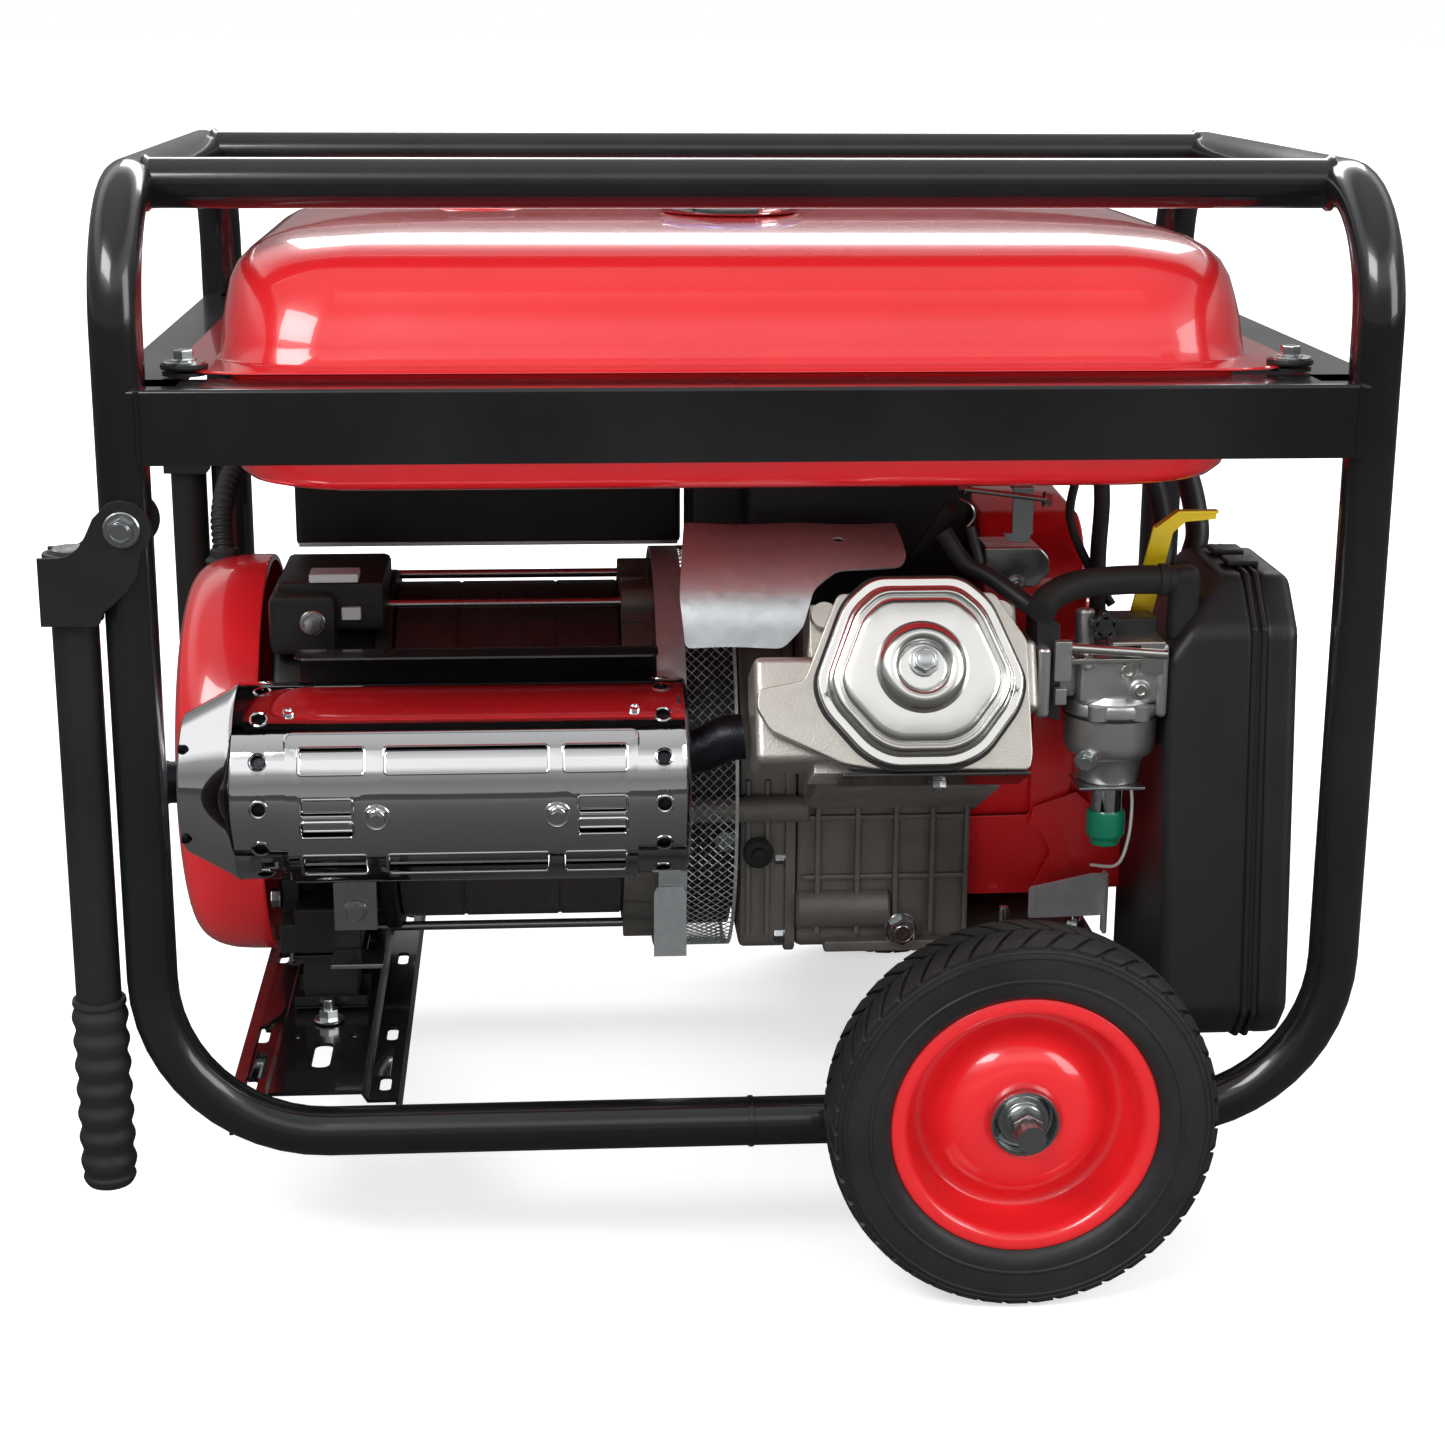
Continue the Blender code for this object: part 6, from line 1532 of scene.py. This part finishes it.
keep("inlet_spacer", gather(plate(spacer, 0.036, 0.0016, shift(0, -0.132, 0) @ FRONT, 0.002),
    pipe(curve_through([(0.118, -0.135, 0.325), (0.13, -0.14, 0.308), (0.145, -0.146, 0.3),
    (0.17, -0.16, 0.283)]), 0.0052, 14), pipe([(0.133, -0.14, 0.329), (0.139, -0.142, 0.308)], 0.003, 10),
    pipe(curve_through([(0.11, -0.085, 0.3), (0.118, -0.1, 0.318), (0.126, -0.11, 0.335)]), 0.0042, 12),
    pipe(curve_through([(0.212, -0.06, 0.348), (0.206, -0.072, 0.32), (0.218, -0.08, 0.29),
    (0.23, -0.09, 0.27)]), 0.0028, 10), pipe(curve_through([(0.248, -0.06, 0.356), (0.26, -0.064, 0.338),
    (0.266, -0.068, 0.305), (0.264, -0.075, 0.285)]), 0.0062, 14), pipe(curve_through([(0.272, -0.03, 0.356),
    (0.286, -0.034, 0.34), (0.292, -0.045, 0.308), (0.288, -0.05, 0.29)]), 0.0075, 14)), black_plastic)

# %% [markdown]
# ## Carburettor
# Bright die-cast body over a bowl with a stepped bottom, a fuel cut-off solenoid with its green cap below,
# and small levers, rods and screws around them.

# %% Carburettor, bowl and solenoid
BOWL_X, BOWL_Y = 0.2185, -0.15
HERE = shift(BOWL_X, BOWL_Y, 0)
casting = gather(block((0.195, -0.172, 0.229), (0.242, -0.129, 0.2585), 0.0035, segments=3),
    turned([(0, 0.2212), (0.0285, 0.2212), (0.0292, 0.222), (0.0292, 0.2268), (0.0282, 0.2285),
    (0.0262, 0.2292), (0.024, 0.233), (0, 0.2332)], 56, HERE), block((0.169, -0.178, 0.2225),
    (0.1765, -0.122, 0.265), 0.003, segments=3), block((0.24, -0.176, 0.2215), (0.2462, -0.124, 0.266),
    0.003, segments=3), block((0.176, -0.164, 0.231), (0.196, -0.136, 0.256), 0.005, segments=3),
    turned([(0, 0), (0.0062, 0), (0.0062, 0.012), (0.0052, 0.0128), (0, 0.0128)], 28,
    aim((0.2285, -0.168, 0.24), (0, -1, 0))), turned([(0, 0.256), (0.0055, 0.256), (0.0055, 0.28),
    (0.0045, 0.2815), (0, 0.2815)], 24, shift(0.201, -0.15, 0)), turned([(0, 0.256), (0.0072, 0.256),
    (0.0068, 0.266), (0, 0.2665)], 24, shift(0.222, -0.146, 0)), block((0.179, -0.1755, 0.244),
    (0.189, -0.169, 0.268), 0.001), block((0.18, -0.1755, 0.23), (0.1868, -0.169, 0.24), 0.001),
    *[turned([(0, 0.2206), (0.0062, 0.2206), (0.0062, 0.229), (0, 0.2294)], 20,
    HERE @ Matrix.Rotation(math.radians(a), 4, "Z") @ shift(0.0262, 0, 0)) for a in (-62, -118, 28, 152)])
bright = gather(pipe([(0.188, -0.1765, 0.2645), (0.244, -0.1765, 0.26)], 0.003, 16),
    block((0.189, -0.176, 0.2545), (0.232, -0.174, 0.2575), 0.0006), block((0.229, -0.1765, 0.248),
    (0.243, -0.1742, 0.2665), 0.001), block((0.212, -0.1765, 0.2655), (0.243, -0.145, 0.2675), 0.0008),
    cap_screw((0.199, -0.1718, 0.255), (0, -1, 0), 0.0044, 0.004), cap_screw((0.2225, -0.1718, 0.25),
    (0, -1, 0), 0.0044, 0.004), cap_screw((0.2285, -0.1808, 0.24), (0, -1, 0), 0.004, 0.0022))
keep("carburettor_casting", gather((casting, 0), (bright, 1)), [die_cast, polished],
    stands_for=("carburettor",))
knob = [turned([(0, 0), (0.0062, 0), (0.007, 0.001), (0.007, 0.006), (0.0058, 0.0072), (0, 0.0072)], 28,
    aim((0.2105, -0.156, 0.2735), (0, -1, 0)))]
for k in range(5):
    a = math.tau * k / 5 + 0.3
    knob.append(turned([(0, 0), (0.0028, 0), (0.0028, 0.0066), (0.002, 0.0072), (0, 0.0072)], 16,
        aim((0.2105 + 0.0064 * math.cos(a), -0.156, 0.2735 + 0.0064 * math.sin(a)), (0, -1, 0))))
knob.append(block((0.213, -0.152, 0.267), (0.244, -0.13, 0.276), 0.0015))
keep("idle_knob", gather(*knob), black_plastic)
bowl = turned([(0, 0.1782), (0.0172, 0.1782), (0.018, 0.179), (0.0192, 0.19), (0.0212, 0.194),
    (0.0246, 0.1958), (0.0264, 0.1985), (0.0272, 0.203), (0.0275, 0.2192), (0, 0.2192)], 56, HERE)
band = turned([(0, 0.219), (0.028, 0.219), (0.0282, 0.2201), (0.028, 0.2212), (0, 0.2212)], 56, HERE)
drain = gather(fastener((0.201, -0.17, 0.1945), (-0.25, -0.95, 0), 0.0092, 0.0046, 1.45, 0, True),
    turned([(0, 0), (0.0064, 0), (0.0066, 0.012), (0, 0.012)], 24, aim((0.204, -0.159, 0.1945),
    (-0.25, -0.95, 0))))
foot = block((0.1975, -0.17, 0.1762), (0.237, -0.138, 0.178), 0.0006)
keep("float_bowl_casting", gather((bowl, 0), (band, 1), (drain, 2), (foot, 2)),
    [die_cast, rubber, zinc_plate], stands_for=("float_bowl",))
can = turned([(0, 0.156), (0.0096, 0.156), (0.0096, 0.1755), (0.009, 0.1762), (0, 0.1762)], 40, HERE)
tip = turned([(0, 0.1372), (0.0078, 0.1372), (0.0088, 0.1382), (0.0092, 0.141), (0.0112, 0.143),
    (0.0116, 0.1445), (0.0117, 0.1575), (0.0108, 0.159), (0.0098, 0.1592)], 40, HERE)
keep("solenoid_can", gather((can, 0), (tip, 1)), [chrome, green_plastic],
    stands_for=("fuel_solenoid",))
keep("solenoid_wire", pipe(curve_through([(0.233, -0.148, 0.176), (0.2345, -0.149, 0.16),
    (0.2335, -0.147, 0.138), (0.229, -0.14, 0.12), (0.22, -0.11, 0.11)]), 0.001, 10), white_wire)

# %% [markdown]
# The breather hose squares off where it enters the air cleaner. The choke lever is one folded strip of
# yellow sheet that turns on the carburettor's side.

# %% Hoses and choke lever
breather = pipe(curve_through([(0.1702, -0.171, 0.285), (0.178, -0.16, 0.291), (0.195, -0.151, 0.296),
    (0.222, -0.15, 0.2985), (0.254, -0.15, 0.2985)]), 0.0085, 28)
elbow = block((0.25, -0.159, 0.26), (0.2675, -0.141, 0.3072), 0.0065, segments=4)
collar = turned([(0.0085, 0), (0.0096, 0.0006), (0.0096, 0.005), (0.0085, 0.0056)], 32,
    aim((0.243, -0.15, 0.2985), (1, 0, 0)))
keep("breather_hose", gather(breather, elbow, collar), rubber, stands_for=("breather_tube",),
    sharp=math.radians(50))
keep("fuel_line", pipe(curve_through([(0.225, -0.06, 0.3565), (0.226, -0.068, 0.33), (0.222, -0.082, 0.3),
    (0.2195, -0.098, 0.27), (0.219, -0.11, 0.25), (0.219, -0.1235, 0.243)]), 0.005, 20), rubber,
    stands_for=("fuel_hose",))
PIVOT = Vector((0.24, -0.118, 0.264))
strip_line = arc_points(0, 0, 0.007, 150, 360, 10) + [(0.0185, 0.056), (0.026, 0.0625), (0.044, 0.064),
    (0.044, 0.07), (0.02, 0.07), (0.0065, 0.06)]
blade = plate(strip_line, 0.002, 0.0005, Matrix.Translation(PIVOT + Vector((0, 0.001, 0))) @ FRONT)
fold_edge = plate([(0.0066, 0.06), (0.02, 0.07), (0.044, 0.07), (0.044, 0.0682), (0.0206, 0.0682),
    (0.0084, 0.059)], 0.007, 0.0004, Matrix.Translation(PIVOT + Vector((0, 0.001, 0))) @ FRONT)
keep("choke_strip", gather(blade, fold_edge), yellow_paint, body="choke_lever",
    stands_for=("choke_lever",))

# %% [markdown]
# ## Air cleaner
# Two moulded halves meet in a double-ridged seam. The case has a sloping shoulder on the engine's side,
# cut with a plane before all its edges are rounded together.

# %% Air cleaner
BOX_LINE = [(-0.06, 0.3), (-0.143, 0.3), (-0.17, 0.272), (-0.196, 0.045), (-0.18, 0.025), (-0.15, 0.018),
    (-0.06, 0.018)]


def moulded(low, high, grow, edge, cut=None):
    """A length of the air cleaner's profile between two X places, its edges rounded."""
    line = [((y + 0.125) * (1 + grow) - 0.125, (z - 0.16) * (1 + grow) + 0.16) for y, z in BOX_LINE]
    shape = plate(line, high - low, 0, shift(low, 0, 0) @ SIDE)
    if cut:
        bmesh.ops.bisect_plane(shape, geom=shape.verts[:] + shape.edges[:] + shape.faces[:], plane_co=cut[0],
            plane_no=cut[1], clear_outer=True)
        bmesh.ops.holes_fill(shape, edges=[e for e in shape.edges if e.is_boundary], sides=20)
        bmesh.ops.recalc_face_normals(shape, faces=shape.faces)
    return rounded(shape, shape.edges[:], edge, 4)


shoulder = ((0.2465, 0, 0.256), (-0.045, 0, 0.032))
keep("air_cleaner_box", moulded(0.2465, 0.299, 0, 0.0065, shoulder), black_plastic,
    stands_for=("air_cleaner_case",), sharp=math.radians(50))
keep("air_cleaner_lid", moulded(0.302, 0.324, 0, 0.007), black_plastic,
    stands_for=("air_cleaner_cover",), sharp=math.radians(50))
keep("air_cleaner_seam", gather(moulded(0.2955, 0.2988, 0.01, 0.0012),
    moulded(0.2985, 0.3015, -0.012, 0.0004), moulded(0.3012, 0.3045, 0.01, 0.0012)), satin_black)
clips = []
for y in (-0.118, -0.085):
    clips.append(block((0.29, y - 0.009, 0.301), (0.309, y + 0.009, 0.3045), 0.0012))
    clips.append(block((0.307, y - 0.007, 0.293), (0.3095, y + 0.007, 0.304), 0.0008))
keep("air_cleaner_clips", gather(*clips), black_plastic)

# %% [markdown]
# ## Operator's panel
# The panel faces away to the back: two sockets under spring lids, a meter, a breaker and the engine switch,
# on a plate whose rim stands up past the box.

# %% Control box and panel
BOX_LOW, BOX_HIGH = (-0.281, 0.118, 0.268), (-0.022, 0.23, 0.352)
keep("panel_box", gather(block(BOX_LOW, BOX_HIGH, 0.004, segments=3),
    plate([(-0.284, 0.266), (-0.019, 0.266), (-0.019, 0.384), (-0.284, 0.384)], 0.004, 0.001,
    shift(0, 0.234, 0) @ FRONT, 0.006), *[block((-0.2822, 0.14 + 0.012 * k, 0.29),
    (-0.2806, 0.145 + 0.012 * k, 0.334), 0.0006) for k in range(6)]), satin_black,
    stands_for=("control_box",))
keep("panel_trim", gather(block((-0.279, 0.116, 0.2682), (-0.024, 0.1184, 0.2708), 0.0005),
    plate([(-0.276, 0.274), (-0.027, 0.274), (-0.027, 0.376), (-0.276, 0.376)], 0.0012, 0.0004,
    shift(0, 0.2352, 0) @ FRONT, 0.005)), grey_plastic)
rings = []
for x in (-0.13, -0.068):
    rings.append(turned([(0.015, 0), (0.0235, 0), (0.0235, 0.005), (0.0222, 0.006), (0.018, 0.006),
        (0.017, 0.003), (0, 0.003)], 48, aim((x, 0.2345, 0.322), (0, 1, 0))))
    for turn in (90, 210, 330):
        a = math.radians(turn)
        rings.append(block((-0.0011, -0.0042, 0), (0.0011, 0.0042, 0.0012), 0.0003,
            aim((x + 0.0085 * math.cos(a), 0.2368, 0.322 + 0.0085 * math.sin(a)), (0, 1, 0))
            @ Matrix.Rotation(a, 4, "Z")))
rings.append(block((-0.206, 0.235, 0.302), (-0.174, 0.2375, 0.342), 0.001))
rings.append(turned([(0, 0), (0.0165, 0), (0.0165, 0.0025), (0.015, 0.0035), (0, 0.0035)], 40,
    aim((-0.245, 0.235, 0.298), (0, 1, 0))))
keep("panel_fittings", gather(*rings), black_plastic)
METER = (-0.245, 0.2352, 0.35)
bezel = turned([(0.015, 0), (0.0185, 0), (0.0185, 0.005), (0.017, 0.0062), (0.015, 0.0055), (0.015, 0)], 48,
    aim(METER, (0, 1, 0)))
dial = turned([(0, 0), (0.0152, 0), (0.0152, 0.0016), (0, 0.0016)], 48, aim(METER, (0, 1, 0)))
marks = [block((-0.0002, 0.0095, 0.0016), (0.0002, 0.0125, 0.0019), 0,
    aim(METER, (0, 1, 0)) @ Matrix.Rotation(math.radians(a), 4, "Z")) for a in range(-60, 61, 20)]
marks.append(block((-0.0003, -0.0015, 0.0022), (0.0003, 0.0105, 0.0026), 0,
    aim(METER, (0, 1, 0)) @ Matrix.Rotation(0.25, 4, "Z")))
keep("meter", gather((bezel, 0), (dial, 1), (gather(*marks), 0)), [black_plastic, white_wire])
for number, x in ((1, -0.13), (2, -0.068)):
    cover = block((x - 0.025, 0.2405, 0.2965), (x + 0.025, 0.245, 0.348), 0.0018, segments=3)
    bump = turned(smooth_profile([(0.0195, 0), (0.019, 0.0022), (0.016, 0.0034), (0, 0.0036)]), 40,
        aim((x, 0.244, 0.322), (0, 1, 0)))
    barrel = pipe([(x - 0.02, 0.2425, 0.348), (x + 0.02, 0.2425, 0.348)], 0.0022, 16)
    keep(f"socket_cover_{number}", gather(cover, bump, barrel), grey_plastic,
        body=f"socket_lid_{number}", stands_for=(f"socket_lid_{number}",))
print(len(made_pieces), "pieces made")
